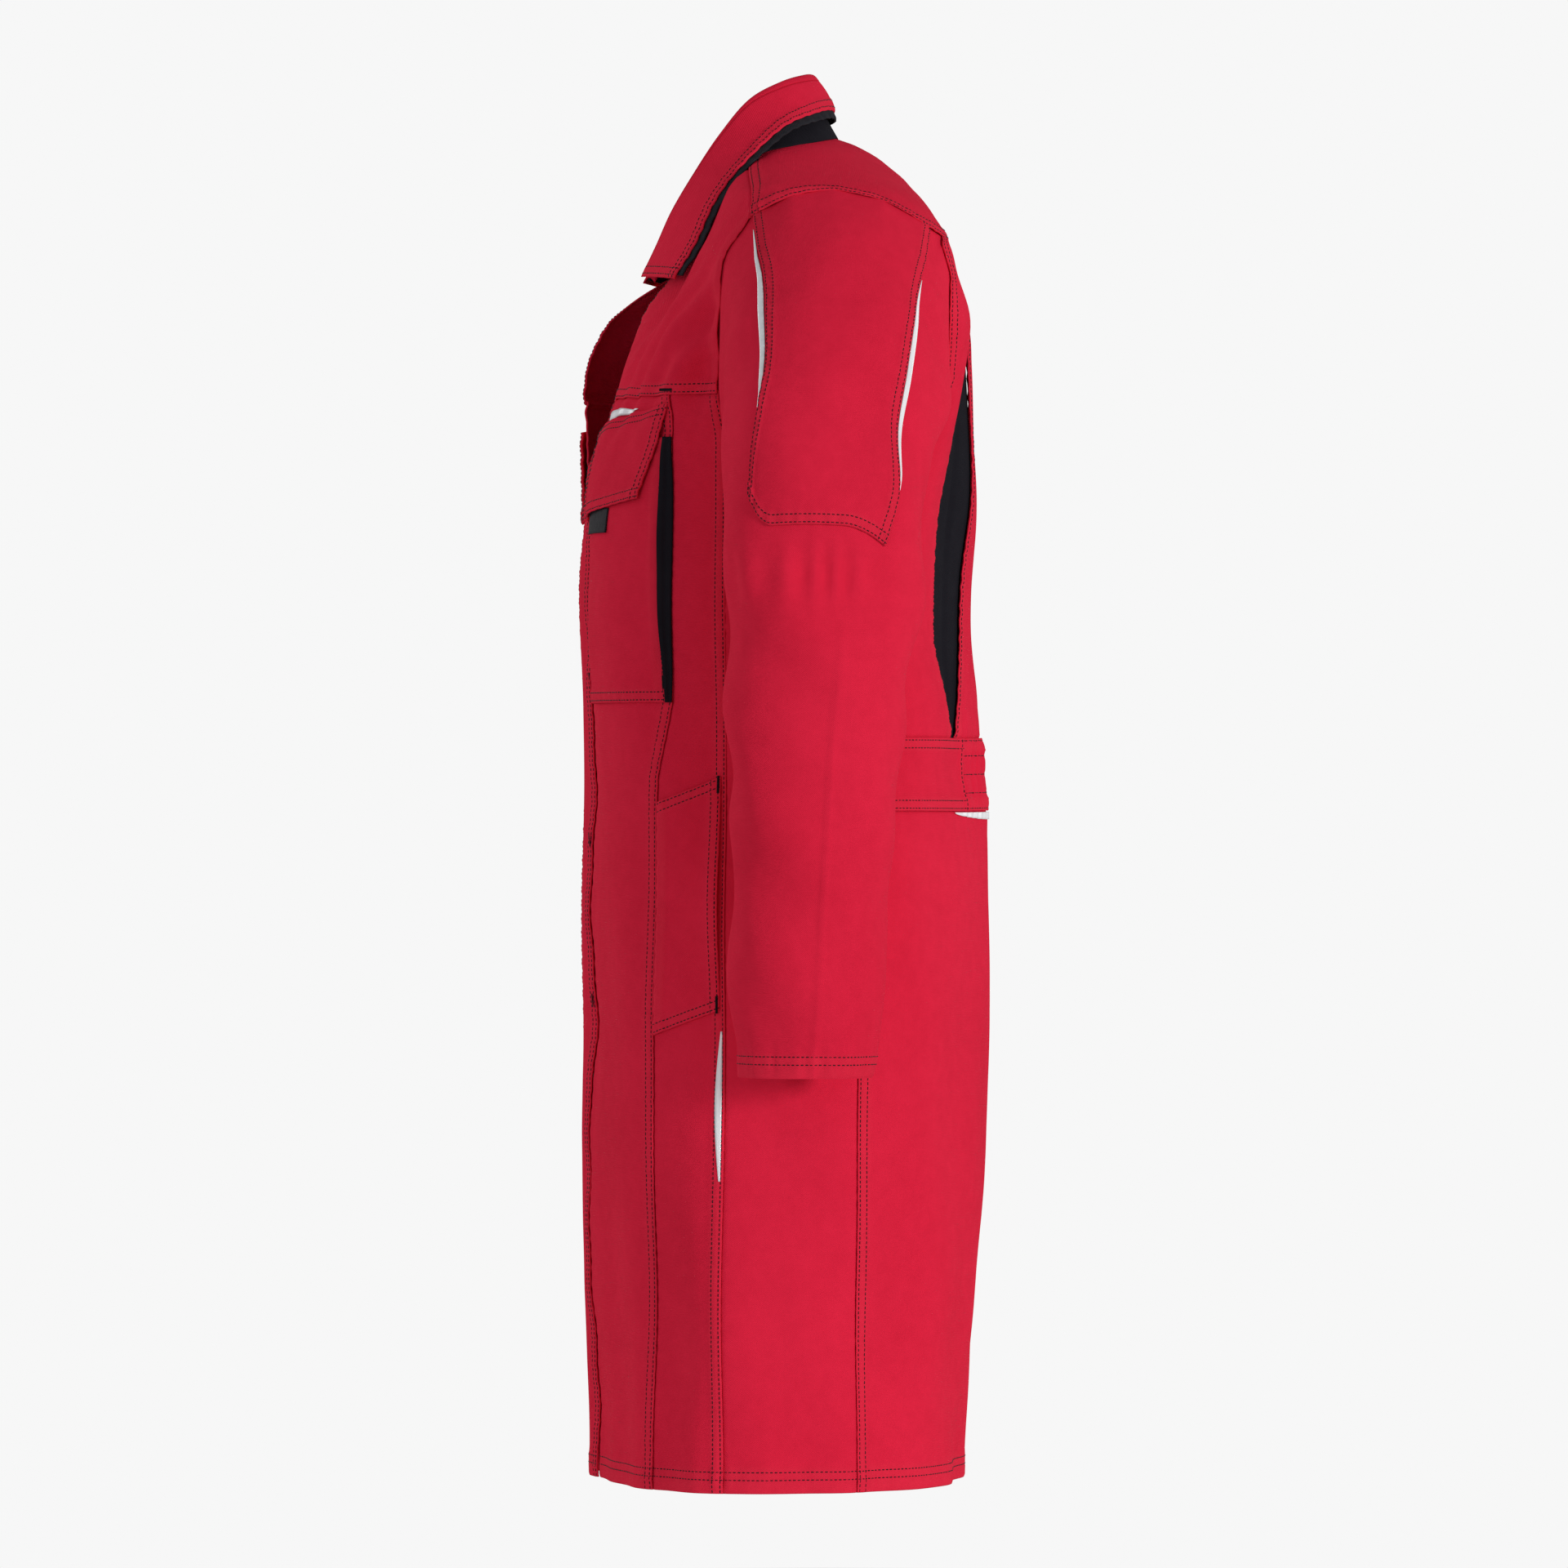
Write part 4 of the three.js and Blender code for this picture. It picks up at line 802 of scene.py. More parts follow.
herringboneTape = makeTape()
reflectiveTape = makeReflective()
slateThread = makeThread("slateThread", (0.020, 0.013, 0.018), (0.006, 0.004, 0.006))
studMetal = makeStud()
for name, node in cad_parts.items():
    if name.startswith("stud_"):
        node.data.materials.clear()
        node.data.materials.append(studMetal)
print("stage: trims and metal made")


# seam lines of the body
seams = {"sideFront": -81, "sideBack": 21, "underarm": 304, "underarmFront": 245, "armholeFront": -86.5,
         "chestSeam": 212, "waistTop": 476, "waistLow": 533, "placket": 46}
princessY = byDrop([(212, -122), (449, -125), (506, -133), (686, -137)])
leftEdgeX = byDrop([(212, 20), (236, 10), (270, -12), (300, -24)])
rightEdgeX = byDrop([(212, 30), (236, 27), (300, 24.7)])
frontArmholeY = byDrop([(seams["chestSeam"], seams["armholeFront"]),
    (seams["underarmFront"], seams["sideFront"])])
backArmholeY = byDrop([(98, 84), (120, 89), (200, 88), (250, 74), (285, 48),
    (seams["underarm"], seams["sideBack"])])
pleatInnerX = byDrop([(95, 92), (200, 86), (300, 84), (400, 92), (476, 108)])
pleatOuterX = byDrop([(95, 98), (140, 116), (200, 132), (300, 142), (400, 136), (476, 118)])
princess = lambda drop: sideY(princessY(drop), drop)
sideFront = lambda drop: sideY(seams["sideFront"] + 0 * drop, drop)
sideBack = lambda drop: sideY(seams["sideBack"] + 0 * drop, drop)
backSideEdge = lambda drop: sideY(backArmholeY(drop), drop)
acrossBack = lambda edge: (lambda drop: 2 * math.pi - edge(drop))
atX = lambda x: (lambda drop: frontX(x + 0 * np.asarray(drop, float), drop))
neckline = [(float(frontX(x, d)), d) for x, d in ((68, 118), (82, 98), (89, 72), (88, 50), (83, 35))] + [
    (0.8, 22), (1.15, 14.5), (1.6, 9.5), (2.1, 5), (2.65, 1.5), (math.pi, 0.5)]
otherHalf = lambda half: [(2 * math.pi - a, d) for a, d in half[:-1][::-1]]
wholeRail = lambda half: half + otherHalf(half)
yokeNeck = neckline[5:]
yokeLow = [(float(sideY(y, d)), d) for y, d in ((-62, 74.5), (-30, 60), (2, 54.5), (40, 63), (72, 81),
    (85, 91))] + [
    (float(backX(90, 94.5)), 94.5), (math.pi, 95)]
made = {}
hemDrop = coat["length"]

# yoke
made["yoke"] = railPanel("yoke_cloth", wholeRail(yokeNeck), wholeRail(yokeLow), redTwill,
    {"a": "plain", "b": "lap", "low": "lap", "high": "lap"}, step=4.5)
topstitch("coat", made["yoke"], "b")
topstitch("coat", made["yoke"], "low")
topstitch("coat", made["yoke"], "high")

# back above the waist
made["back"] = panel("back_cloth", seams["waistTop"], 95.5, lambda d: backX(pleatInnerX(d), d),
    acrossBack(lambda d: backX(pleatInnerX(d), d)),
    redTwill, {"a": "fold", "b": "fold", "low": "under", "high": "under"})
topstitch("coat", made["back"], "a", (2.1,))
topstitch("coat", made["back"], "b", (2.1,))
pleat = {"deep": 9.5, "spread": 46}


def pleatOpen(drop):
    return pleat["deep"] * smooth(drop, 98, 150) * (1 - smooth(drop, 400, seams["waistTop"]))


def sinkToPleat(angle, drop, base):
    # the side back falls in toward its edge, which lets the black pleat show
    return -pleatOpen(drop) * (1 - smooth(np.abs(base[..., 0]), pleatOuterX(drop),
        pleatOuterX(drop) + pleat["spread"]))


def pleatSlope(angle, drop, base):
    return -pleatOpen(drop) * smooth(np.abs(base[..., 0]), pleatInnerX(drop) - 4, pleatOuterX(drop) - 2)


for side, sign in (("left", 1), ("right", -1)):
    near, far = ("a", "b") if sign > 0 else ("b", "a")
    backSide = panel(f"back_side_cloth_{side}", seams["waistTop"], 90.5, backSideEdge,
        lambda d: backX(pleatOuterX(d), d), redTwill,
        {"a": "lap", "b": "fold", "low": "under", "high": "under"}, sign=sign, extra=sinkToPleat)
    topstitch("coat", backSide, near)
    topstitch("coat", backSide, far, (2.1,))
    made[f"back_side_{side}"] = backSide
    # the black pleat lies folded under both edges
    wide = lambda d: slide(backX(pleatOuterX(d), d), d, -9)
    deep = lambda d: slide(backX(pleatInnerX(d), d), d, 9)
    crease = lambda angle, drop, base: pleatSlope(angle, drop, base) - 1.6 * bump(
        np.abs(base[..., 0]), (pleatInnerX(drop) + pleatOuterX(drop)) / 2, 3.0)
    made[f"pleat_{side}"] = panel(f"action_pleat_cloth_{side}", 478, 90, wide, deep, slateTwill, {},
        out=-2.9, step=3,
        sign=sign, extra=crease)

# waistband and back skirt
elastic = {"halfX": 92, "rows": (14, 28.5, 43), "swell": 1.2, "gather": 0.85}


def elasticShape(angle, drop, base):
    x = base[..., 0]
    ripple = np.sin(x / 1.75 + 0.9 * np.sin(x / 12) + 0.5 * np.sin(drop / 5)) + 0.55 * np.sin(x / 3.1
        + drop / 14)
    fill = smooth(drop, 477, 486) * (1 - smooth(drop, 524, 532))
    channel = sum(bump(drop, seams["waistTop"] + r, 2.2) for r in elastic["rows"])
    return fill * (elastic["swell"] + elastic["gather"] * ripple * (1
        - 0.35 * channel)) - 0.45 * channel * fill


elasticEdge = lambda d: backX(elastic["halfX"] + 0 * d, d)
made["elastic"] = panel("waistband_elastic_cloth", seams["waistLow"], seams["waistTop"], elasticEdge,
    acrossBack(elasticEdge), redTwill,
    {"a": "under", "b": "under", "low": "lap", "high": "lap"}, out=0.6, step=2.0, extra=elasticShape)
topstitch("coat", made["elastic"], "low", (2.1,))
topstitch("coat", made["elastic"], "high", (2.1,))
for row in elastic["rows"]:
    topstitch("coat", made["elastic"], "high", (row,))
for side, sign in (("left", 1), ("right", -1)):
    band = panel(f"waistband_cloth_{side}", seams["waistLow"], seams["waistTop"], sideBack, elasticEdge,
        redTwill,
        {"a": "lap", "b": "lap", "low": "lap", "high": "lap"}, out=0.7, step=4, sign=sign)
    for edge in ("low", "high", "a", "b"):
        topstitch("coat", band, edge)
    made[f"band_{side}"] = band
made["back_skirt"] = panel("back_skirt_cloth", hemDrop, seams["waistLow"], sideBack, acrossBack(sideBack),
    redTwill,
    {"a": "lap", "b": "lap", "low": "hem", "high": "under"}, step=5.5)
for edge in ("a", "b"):
    topstitch("coat", made["back_skirt"], edge)
topstitch("coat", made["back_skirt"], "low", (10.5, 16.5))
pipingEnd = float(backX(124, 534))
leafShare, leafRow = np.meshgrid(np.linspace(0, 1, 70), np.linspace(0, 1, 5), indexing="ij")
made["waist_piping"] = dressPanel("waist_piping_tape", pipingEnd + 2 * (math.pi - pipingEnd) * leafShare,
    534 + (1 - leafRow) * (0.5 + 5.4 * np.sin(math.pi * leafShare) ** 0.6), 1.3, reflectiveTape, {}, 0.9)
print("stage: yoke and back cut")

# side panels and side fronts
for side, sign in (("left", 1), ("right", -1)):
    near, far = ("a", "b") if sign > 0 else ("b", "a")
    underarm = lambda share: seams["underarmFront"] + (seams["underarm"]
        - seams["underarmFront"]) * np.sin(share * math.pi / 2)
    made[f"side_{side}"] = panel(f"side_panel_cloth_{side}", hemDrop, 304, sideFront, sideBack, redTwill,
        {"a": "under", "b": "under", "low": "hem", "high": "lap"}, sign=sign, top=underarm)
    topstitch("coat", made[f"side_{side}"], "low", (10.5, 16.5))
    sideEdge = lambda d: sideY(frontArmholeY(d), d)
    made[f"front_side_{side}"] = panel(f"front_side_cloth_{side}", hemDrop, seams["chestSeam"], princess,
        sideEdge, redTwill,
        {"a": "under", "b": "lap", "low": "hem", "high": "under"}, sign=sign, step=4.5)
    topstitch("coat", made[f"front_side_{side}"], far)
    topstitch("coat", made[f"front_side_{side}"], "low", (10.5, 16.5))

# upper fronts beside the neck opening
for side, sign, edgeX in (("left", 1, leftEdgeX), ("right", -1, rightEdgeX)):
    near, far = ("a", "b") if sign > 0 else ("b", "a")
    opening = [(float(frontX(edgeX(seams["chestSeam"]), 211.6)), 211.6), (float(frontX(34, 181)), 181),
        (float(frontX(42, 150)), 150)] + neckline[:6]
    opening[-1] = (yokeNeck[0][0] + 0.02, 21.4)
    armhole = [(float(slide(sideY(y, d), d, -0.7)), d) for y, d in
        ((-86.5, 211.6), (-86.5, 181), (-86.5, 150), (-85, 125), (-83, 112), (-80.5, 102), (-76, 94),
        (-70, 86), (-60.5, 72.6))]
    upper = railPanel(f"front_upper_cloth_{side}", opening, armhole, redTwill,
        {"a": "fold", "b": "lap", "low": "lap", "high": "under"}, sign=sign, step=3.6)
    topstitch("coat", upper, near, (2.1,), 0.0, 0.5)
    topstitch("coat", upper, "low")
    made[f"upper_{side}"] = upper

# the left front: placket and centre front
leftEdge = lambda d: frontX(leftEdgeX(d), d)
placketLine = lambda d: frontX(np.maximum(seams["placket"] + 0 * d, leftEdgeX(d) + 8), d)


def placketWave(angle, drop, base):
    x = base[..., 0]
    edge = bump(x, seams["placket"] - 4, 16)
    return 1.3 * edge * (np.sin(drop / 23 + 0.8 * np.sin(drop / 61))
        + 0.5 * np.sin(drop / 9.5)) * smooth(drop, 300, 420)


made["placket"] = panel("left_placket_cloth", hemDrop, seams["chestSeam"], leftEdge, placketLine, redTwill,
    {"a": "fold", "b": "lap", "low": "hem", "high": "under"}, out=0.8, step=4, extra=placketWave)
topstitch("front", made["placket"], "b", (2.1, 7.0))
topstitch("front", made["placket"], "a", (2.1,))
topstitch("front", made["placket"], "low", (10.5, 16.5))
made["left_front"] = panel("left_front_cloth", hemDrop, seams["chestSeam"], placketLine, princess, redTwill,
    {"a": "under", "b": "lap", "low": "hem", "high": "under"}, step=4.5, extra=placketWave)
topstitch("front", made["left_front"], "b")
topstitch("front", made["left_front"], "low", (10.5, 16.5))

# the right front runs under the left one
hidden = {"edgeX": 20, "sink": 3.4}


def sinkUnder(angle, drop, base):
    return -hidden["sink"] * smooth(base[..., 0], leftEdgeX(drop) - 6, leftEdgeX(drop) + 1) * smooth(drop,
        285, 306)


rightInner = lambda d: frontX(np.where(np.asarray(d) > 300, -hidden["edgeX"], rightEdgeX(d)), d)
made["right_front"] = panel("right_front_cloth", hemDrop, seams["chestSeam"], rightInner, princess,
    redTwill,
    {"a": "fold", "b": "lap", "low": "hem", "high": "under"}, sign=-1, step=4.5, extra=sinkUnder)
topstitch("coat", made["right_front"], "a")
topstitch("coat", made["right_front"], "low", (10.5, 16.5))

# concealed fly behind the placket
fly = {"strip": (-23, 31), "underlap": (-54, 24), "under": -3.4, "underTwo": -9.2}
made["fly"] = panel("fly_strip_cloth", 1048, 310, atX(fly["strip"][0]), atX(fly["strip"][1]), redTwill,
    {"a": "fold", "b": "fold"}, out=fly["under"], step=5)
topstitch("front", made["fly"], "b", (2.1,))
made["underlap"] = panel("underlap_cloth", 1048, 310, atX(fly["underlap"][0]), atX(fly["underlap"][1]),
    redTwill,
    {"a": "fold", "b": "fold"}, out=fly["underTwo"], step=5)
topstitch("coat", made["underlap"], "b", (2.1,))
for drop in (430, 556, 682):
    spot = onCloth(frontX(seams["placket"] - 3, drop), drop, 1.9)
    barTack("front", spot, (0, 0.1, -1), formNormal(frontX(seams["placket"] - 3, drop), drop), 10, 2.6)
print("stage: fronts cut")


# chest pockets, their bellows, flaps, tabs and inserts
pocket = {"top": 236, "low": 449, "frontX": 46, "room": 1.9, "swell": 3.5, "flapFrontX": 36,
          "flapDeep": 66, "flapSlant": 15, "flapSpread": 8, "flapRise": 20, "flapOut": 5.8, "seat": 1.3,
          "flapNarrow": 24, "tabFrontX": 66, "tabWide": 60, "tabShows": 10, "tabHidden": 9,
          "insertWide": 6.5, "insertShare": 0.62}
pocketFront = lambda d: frontX(pocket["frontX"] + 0 * d, d)
bellowsWide = byDrop([(236, 6), (290, 9), (360, 8.5), (420, 6), (449, 4)])
pocketBack = lambda d: slide(princess(d), d, -bellowsWide(d))
flapTop = seams["chestSeam"] + 6


def pocketSwell(angle, drop, base):
    up = (pocket["low"] - drop) / (pocket["low"] - pocket["top"])
    across = smooth(np.abs(base[..., 0]), 46, 80) * (1 - smooth(base[..., 1], -137, -127))
    return pocket["swell"] * np.sin(np.clip(up, 0, 1) * math.pi) ** 0.8 * across + 0.5 * np.sin(drop / 11
        + base[..., 0] / 23) * across


def flapSpots(share, depth):
    lowDrop = flapTop + pocket["flapSlant"] + depth
    low = float(frontX(pocket["flapFrontX"], lowDrop))
    highDrop = flapTop + depth
    high = float(slide(princess(highDrop), highDrop,
        -1 - pocket["flapNarrow"] * max(depth, 0) / pocket["flapDeep"]))
    return low + (high - low) * share, lowDrop + (highDrop - lowDrop) * share


for side, sign in (("left", 1), ("right", -1)):
    near, far = ("a", "b") if sign > 0 else ("b", "a")
    group = "coat"
    face = panel(f"chest_pocket_cloth_{side}", pocket["low"], 244, pocketFront, pocketBack, redTwill,
        {"a": "plain", "b": "fold", "low": "fold", "high": "plain"}, out=pocket["room"], step=3.6,
        sign=sign, extra=pocketSwell)
    topstitch(group, face, "low")
    topstitch(group, face, far, (2.1,))
    made[f"pocket_{side}"] = face

    def bellowsShape(angle, drop, base):
        # pleated side: high where it meets the pocket, low at the seam, one fold between
        share = np.linspace(0, 1, base.shape[0])[:, None] if base[0, 0, 0] > 0 else np.linspace(1, 0,
            base.shape[0])[:, None]
        rise = pocketSwell(angle, drop, base * 0 + np.array([90.0, -150.0, 0]))
        return (pocket["room"] + rise) * (1 - share) ** 1.2 - 1.0 * bump(share, 0.5,
            0.13) + 0.7 * bump(share, 0.3, 0.1)

    bellowsBack = lambda d: slide(princess(d), d, 0.6
        + 1.4 * np.sin(np.clip((449 - d) / 213, 0, 1) * math.pi))
    wing = panel(f"pocket_bellows_cloth_{side}", pocket["low"], 244, pocketBack, bellowsBack, slateTwill,
        {},
        out=1.9, step=1.4, sign=sign, extra=bellowsShape)
    made[f"bellows_{side}"] = wing
    barSpot, barWay, barUp = spotOn(face, far, 2.1, 0.08)
    barTack(group, barSpot, barWay, barUp, 12)
    seamSpot = onCloth(princess(208.0), 208.0, 1.3) * [sign, 1, 1]
    barTack("coat", seamSpot, (0.6 * sign, 1, 0), formNormal(princess(208.0), 208.0) * [sign, 1, 1], 11)

    # flap: two lines from its lower edge up to its top seam, with rounded lower corners
    depths = [pocket["flapDeep"] + pocket["flapSpread"], 56, 38, pocket["flapRise"],
        pocket["flapRise"] / 2, 0]
    railA = [flapSpots(0, d) for d in depths]
    railB = [flapSpots(1, d) for d in depths]

    def flapShape(angle, drop, base):
        down = np.clip((drop - flapTop) / pocket["flapRise"], 0, 1)
        lip = smooth(drop, 268, 300)
        over = (pocket["flapOut"] - pocket["seat"]) * down ** 0.8 + 0.9 * down * pocketSwell(angle, drop,
            base)
        return over + 0.8 * lip * np.sin(base[..., 0] / 13 + 1.2)

    flap = railPanel(f"chest_flap_cloth_{side}", railA, railB, redTwill,
        {"a": "fold", "b": "fold", "low": "fold", "high": "plain"}, out=pocket["seat"], step=3.2,
        sign=sign, extra=flapShape, thick=1.8)
    flapGroup = f"{side}_flap"
    for edge in ("a", "b", "low"):
        topstitch(flapGroup, flap, edge)
    topstitch(flapGroup, flap, "high", (4.0, 9.0))
    made[f"flap_{side}"] = flap

    shares = np.linspace(0, 1, 30)
    leafWide = lambda s: 0.6 + pocket["insertWide"] * np.sin(math.pi * s ** 0.6)
    lowRail = [flapSpots(s * pocket["insertShare"], -2.2) for s in shares]
    highRail = [(a, d - leafWide(s)) for (a, d), s in zip(lowRail, shares)]
    made[f"flap_piping_{side}"] = railPanel(f"flap_insert_tape_{side}", highRail, lowRail, reflectiveTape,
        {}, out=1.1, step=2.0,
        sign=sign, thick=0.9)

    flapEnd = flapTop + pocket["flapSlant"] + pocket["flapDeep"] + pocket["flapSpread"]
    tabEnd = flapEnd + pocket["tabShows"]
    tabFlat = lambda angle, drop, base: pocketSwell(angle, drop, base) + 0.5 * bump(drop, tabEnd,
        2.5) - 0.4 * smooth(drop, flapEnd + 6, flapEnd - 6)
    made[f"tab_{side}"] = panel(f"pull_tab_tape_{side}", tabEnd, flapEnd - pocket["tabHidden"],
        atX(pocket["tabFrontX"]), atX(pocket["tabFrontX"] + pocket["tabWide"]), herringboneTape, {},
        out=pocket["room"] + 1.5, step=2.4, sign=sign, thick=1.1, extra=tabFlat)
print("stage: chest pockets made")

# slanted side pockets and the inserts in the side seams
sidePocket = {"top": 506, "low": 686, "slant": 20, "lift": 1.7, "mouth": 4.5, "insertTop": 702,
    "insertLong": 115}
for side, sign in (("left", 1), ("right", -1)):
    near, far = ("a", "b") if sign > 0 else ("b", "a")
    rows = np.linspace(sidePocket["low"], sidePocket["top"], 24)
    railA = [(float(slide(princess(d + sidePocket["slant"]), d + sidePocket["slant"], 1)),
        d + sidePocket["slant"]) for d in rows]
    railB = [(float(slide(sideFront(np.array(d)), d, -4)), d) for d in rows]

    def mouthShape(angle, drop, base):
        # the entry edge stands a little open
        middle = np.sin(np.clip((drop - sidePocket["top"]) / (sidePocket["low"] - sidePocket["top"]), 0,
            1) * math.pi)
        return sidePocket["mouth"] * middle * smooth(base[..., 1], -104,
            -86) + 0.8 * np.sin(drop / 19 + 1) * smooth(base[..., 1], -120, -96)

    entry = railPanel(f"side_pocket_cloth_{side}", railA, railB, redTwill,
        {"a": "fold", "b": "fold", "low": "fold", "high": "fold"}, out=sidePocket["lift"], step=3.4,
        sign=sign, extra=mouthShape)
    for edge in ("low", "high", far):
        topstitch("coat", entry, edge)
    for share in (0.03, 0.97):
        spot, way, up = spotOn(entry, far, 2.1, share)
        barTack("coat", spot, way, up, 13)
    made[f"side_pocket_{side}"] = entry
    insertRows = np.linspace(1, 0, 26)
    leafLow = [(float(slide(sideFront(np.array(d)), d, -3 - 0.5 - 4.2 * math.sin(math.pi * s))), d)
        for s, d in ((s, sidePocket["insertTop"] + s * sidePocket["insertLong"]) for s in insertRows)]
    leafHigh = [(float(slide(sideFront(np.array(d)), d, -2.2)), d)
        for d in (sidePocket["insertTop"] + insertRows * sidePocket["insertLong"])]
    made[f"side_piping_{side}"] = railPanel(f"side_insert_tape_{side}", leafLow, leafHigh, reflectiveTape,
        {}, out=1.5, step=2.0,
        sign=sign, thick=0.8)
print("stage: side pockets made")


# collar
collar = {"leaf": 1.5, "underShows": 6.5, "room": 5.0, "underOut": -4.1, "standBack": 5.5,
    "standStart": 0.05,
          "neckAxisY": -45, "roll": 4.0}
foldLine = [(50, -143, -114), (56, -132, -91), (63, -120, -64), (68, -105, -38), (71, -84, -6),
    (68, -62, 20),
            (55, -38, 34), (31, -20, 41), (0, -13, 43)]
outerLine = [(116, -121, -119), (118, -106, -93), (117, -90, -60), (109, -66, -27), (97, -42, -4),
    (80, -24, 8),
             (58, -8, 15), (30, 2, 18), (0, 5, 19)]


def smoothLine(half):
    # a round curve through the points, left front to right front
    points = np.array(half + [(-x, y, z) for x, y, z in half[:-1][::-1]], float)
    count = len(points) - 1

    def read(v):
        at = np.clip(np.asarray(v, float), 0, 1) * count
        i = np.minimum(at.astype(int), count - 1)
        w = (at - i)[..., None]
        p1, p2 = points[i], points[i + 1]
        p0 = np.where((i == 0)[..., None], 2 * p1 - p2, points[np.maximum(i - 1, 0)])
        p3 = np.where((i == count - 1)[..., None], 2 * p2 - p1, points[np.minimum(i + 2, count)])
        t0 = np.maximum(np.linalg.norm(p1 - p0, axis=-1, keepdims=True) ** 0.5, 1e-4)
        t1 = np.maximum(np.linalg.norm(p2 - p1, axis=-1, keepdims=True) ** 0.5, 1e-4)
        t2 = np.maximum(np.linalg.norm(p3 - p2, axis=-1, keepdims=True) ** 0.5, 1e-4)
        m1 = ((p1 - p0) / t0 - (p2 - p0) / (t0 + t1) + (p2 - p1) / t1) * t1
        m2 = ((p2 - p1) / t1 - (p3 - p1) / (t1 + t2) + (p3 - p2) / t2) * t1
        ww, www = w * w, w * w * w
        return (2 * www - 3 * ww + 1) * p1 + (www - 2 * ww + w) * m1 + (-2 * www + 3 * ww) * p2 + (www
            - ww) * m2

    return read


foldCurve, outerCurve = smoothLine(foldLine), smoothLine(outerLine)
awayFromNeck = lambda p: unit((p - [0, collar["neckAxisY"], 0]) * [1, 1, 0])
leafTop = lambda v: foldCurve(v) + awayFromNeck(foldCurve(v)) * collar["room"]
neckRail = np.array(wholeRail(neckline))


def neckPoint(v):
    at = np.asarray(v) * (len(neckRail) - 1)
    keys = np.arange(len(neckRail))
    return onCloth(np.interp(at, keys, neckRail[:, 0]), np.interp(at, keys, neckRail[:, 1]) + 3.0, 0.9)


def ruledGrid(lineA, lineB, start, step):
    v = np.linspace(start, 1 - start, int(620 / step))
    a, b = lineA(v), lineB(v)
    width = np.linalg.norm(b - a, axis=-1).mean()
    u = lineShares(width, step, False, True)
    points = a[None] + (b - a)[None] * u[:, None, None]
    return points, gridNormals(points), u, v


# the leaf is cut from the fold line down to its outer edge; both run from the left front round the neck
def collarSheet(name, lineA, lineB, material, start, out, thick, edges, bow=0.0, step=3.2):
    points, normal, u, v = ruledGrid(lineA, lineB, start, step)
    curl = bow * np.sin(math.pi * u) ** 0.9
    curl = curl[:, None] + 0.5 * np.sin(v[::-1] * 46)[None] * smooth(u, 0.2, 1)[:, None]
    return finishGrid(name, points, normal, out, material, edges, thick, curl)


leafCloth = collarSheet("collar_leaf_cloth", leafTop, outerCurve, redTwill, 0.0, 0.0, collar["leaf"],
    {"a": None, "b": "fold", "low": "fold", "high": "fold"}, bow=collar["roll"] * 0.4)
for edge in ("b", "low", "high"):
    topstitch("coat", leafCloth, edge, (3.0, 9.0))
made["collar_leaf"] = leafCloth
underLow = lambda v: outerCurve(v) + unit(outerCurve(v) - leafTop(v)) * collar["underShows"]
made["collar_under"] = collarSheet("collar_under_cloth", leafTop, underLow, slateTwill, 0.009,
    collar["underOut"] + 1.6, 1.3,
    {"b": "fold", "low": "fold", "high": "fold"}, bow=collar["roll"] * 0.3)
standTop = lambda v: foldCurve(v) - awayFromNeck(foldCurve(v)) * collar["standBack"]
made["collar_stand"] = collarSheet("collar_stand_cloth", standTop, neckPoint, slateTwill,
    collar["standStart"], 0.0, 1.3, {})
# the cloth that turns over the fold line and joins stand to leaf
turnOver = {"rows": 9, "high": 4.5}


def foldArch():
    v = np.linspace(0.0, 1.0, 190)
    inner, outerEdge = standTop(v), leafTop(v)
    t = np.linspace(0, 1, turnOver["rows"])
    rise = np.sin(t * math.pi) * turnOver["high"]
    points = inner[None] + (outerEdge - inner)[None] * t[:, None, None] + np.array([0, 0, 1.0]) * rise[:,
        None, None]
    normal = gridNormals(points)
    return finishGrid("collar_fold_cloth", points, normal, 0.3, redTwill, {}, 1.2)


made["collar_fold"] = foldArch()
print("stage: collar made")

# hanging loop, folded tape sewn at both ends
loop = {"wide": 6, "thick": 1.1}
loopCurve = np.array([(-28, -6, 8), (-24, -18, 5), (0, -21, 2), (24, -18, 5), (28, -6, 8)], float)
t = np.linspace(0, 4, 60)
loopSpots = np.stack([np.interp(t, range(5), loopCurve[:, k]) for k in range(3)], -1)
for _ in range(6):
    loopSpots[1:-1] = (loopSpots[:-2] + 2 * loopSpots[1:-1] + loopSpots[2:]) / 4
strip = np.stack([loopSpots + [0, 0, z] for z in np.linspace(-loop["wide"] / 2, loop["wide"] / 2, 7)])
stripNormal = gridNormals(strip)
made["loop"] = finishGrid("hanging_loop_tape", strip, stripNormal, 0.0, herringboneTape, {}, loop["thick"])
for end in (0.03, 0.97):
    spot, way, up = spotOn(made["loop"], "a", 3.0, end)
    barTack("coat", spot, np.array([0, 0, 1.0]), up, 5, 3)
print("stage: hanging loop made")


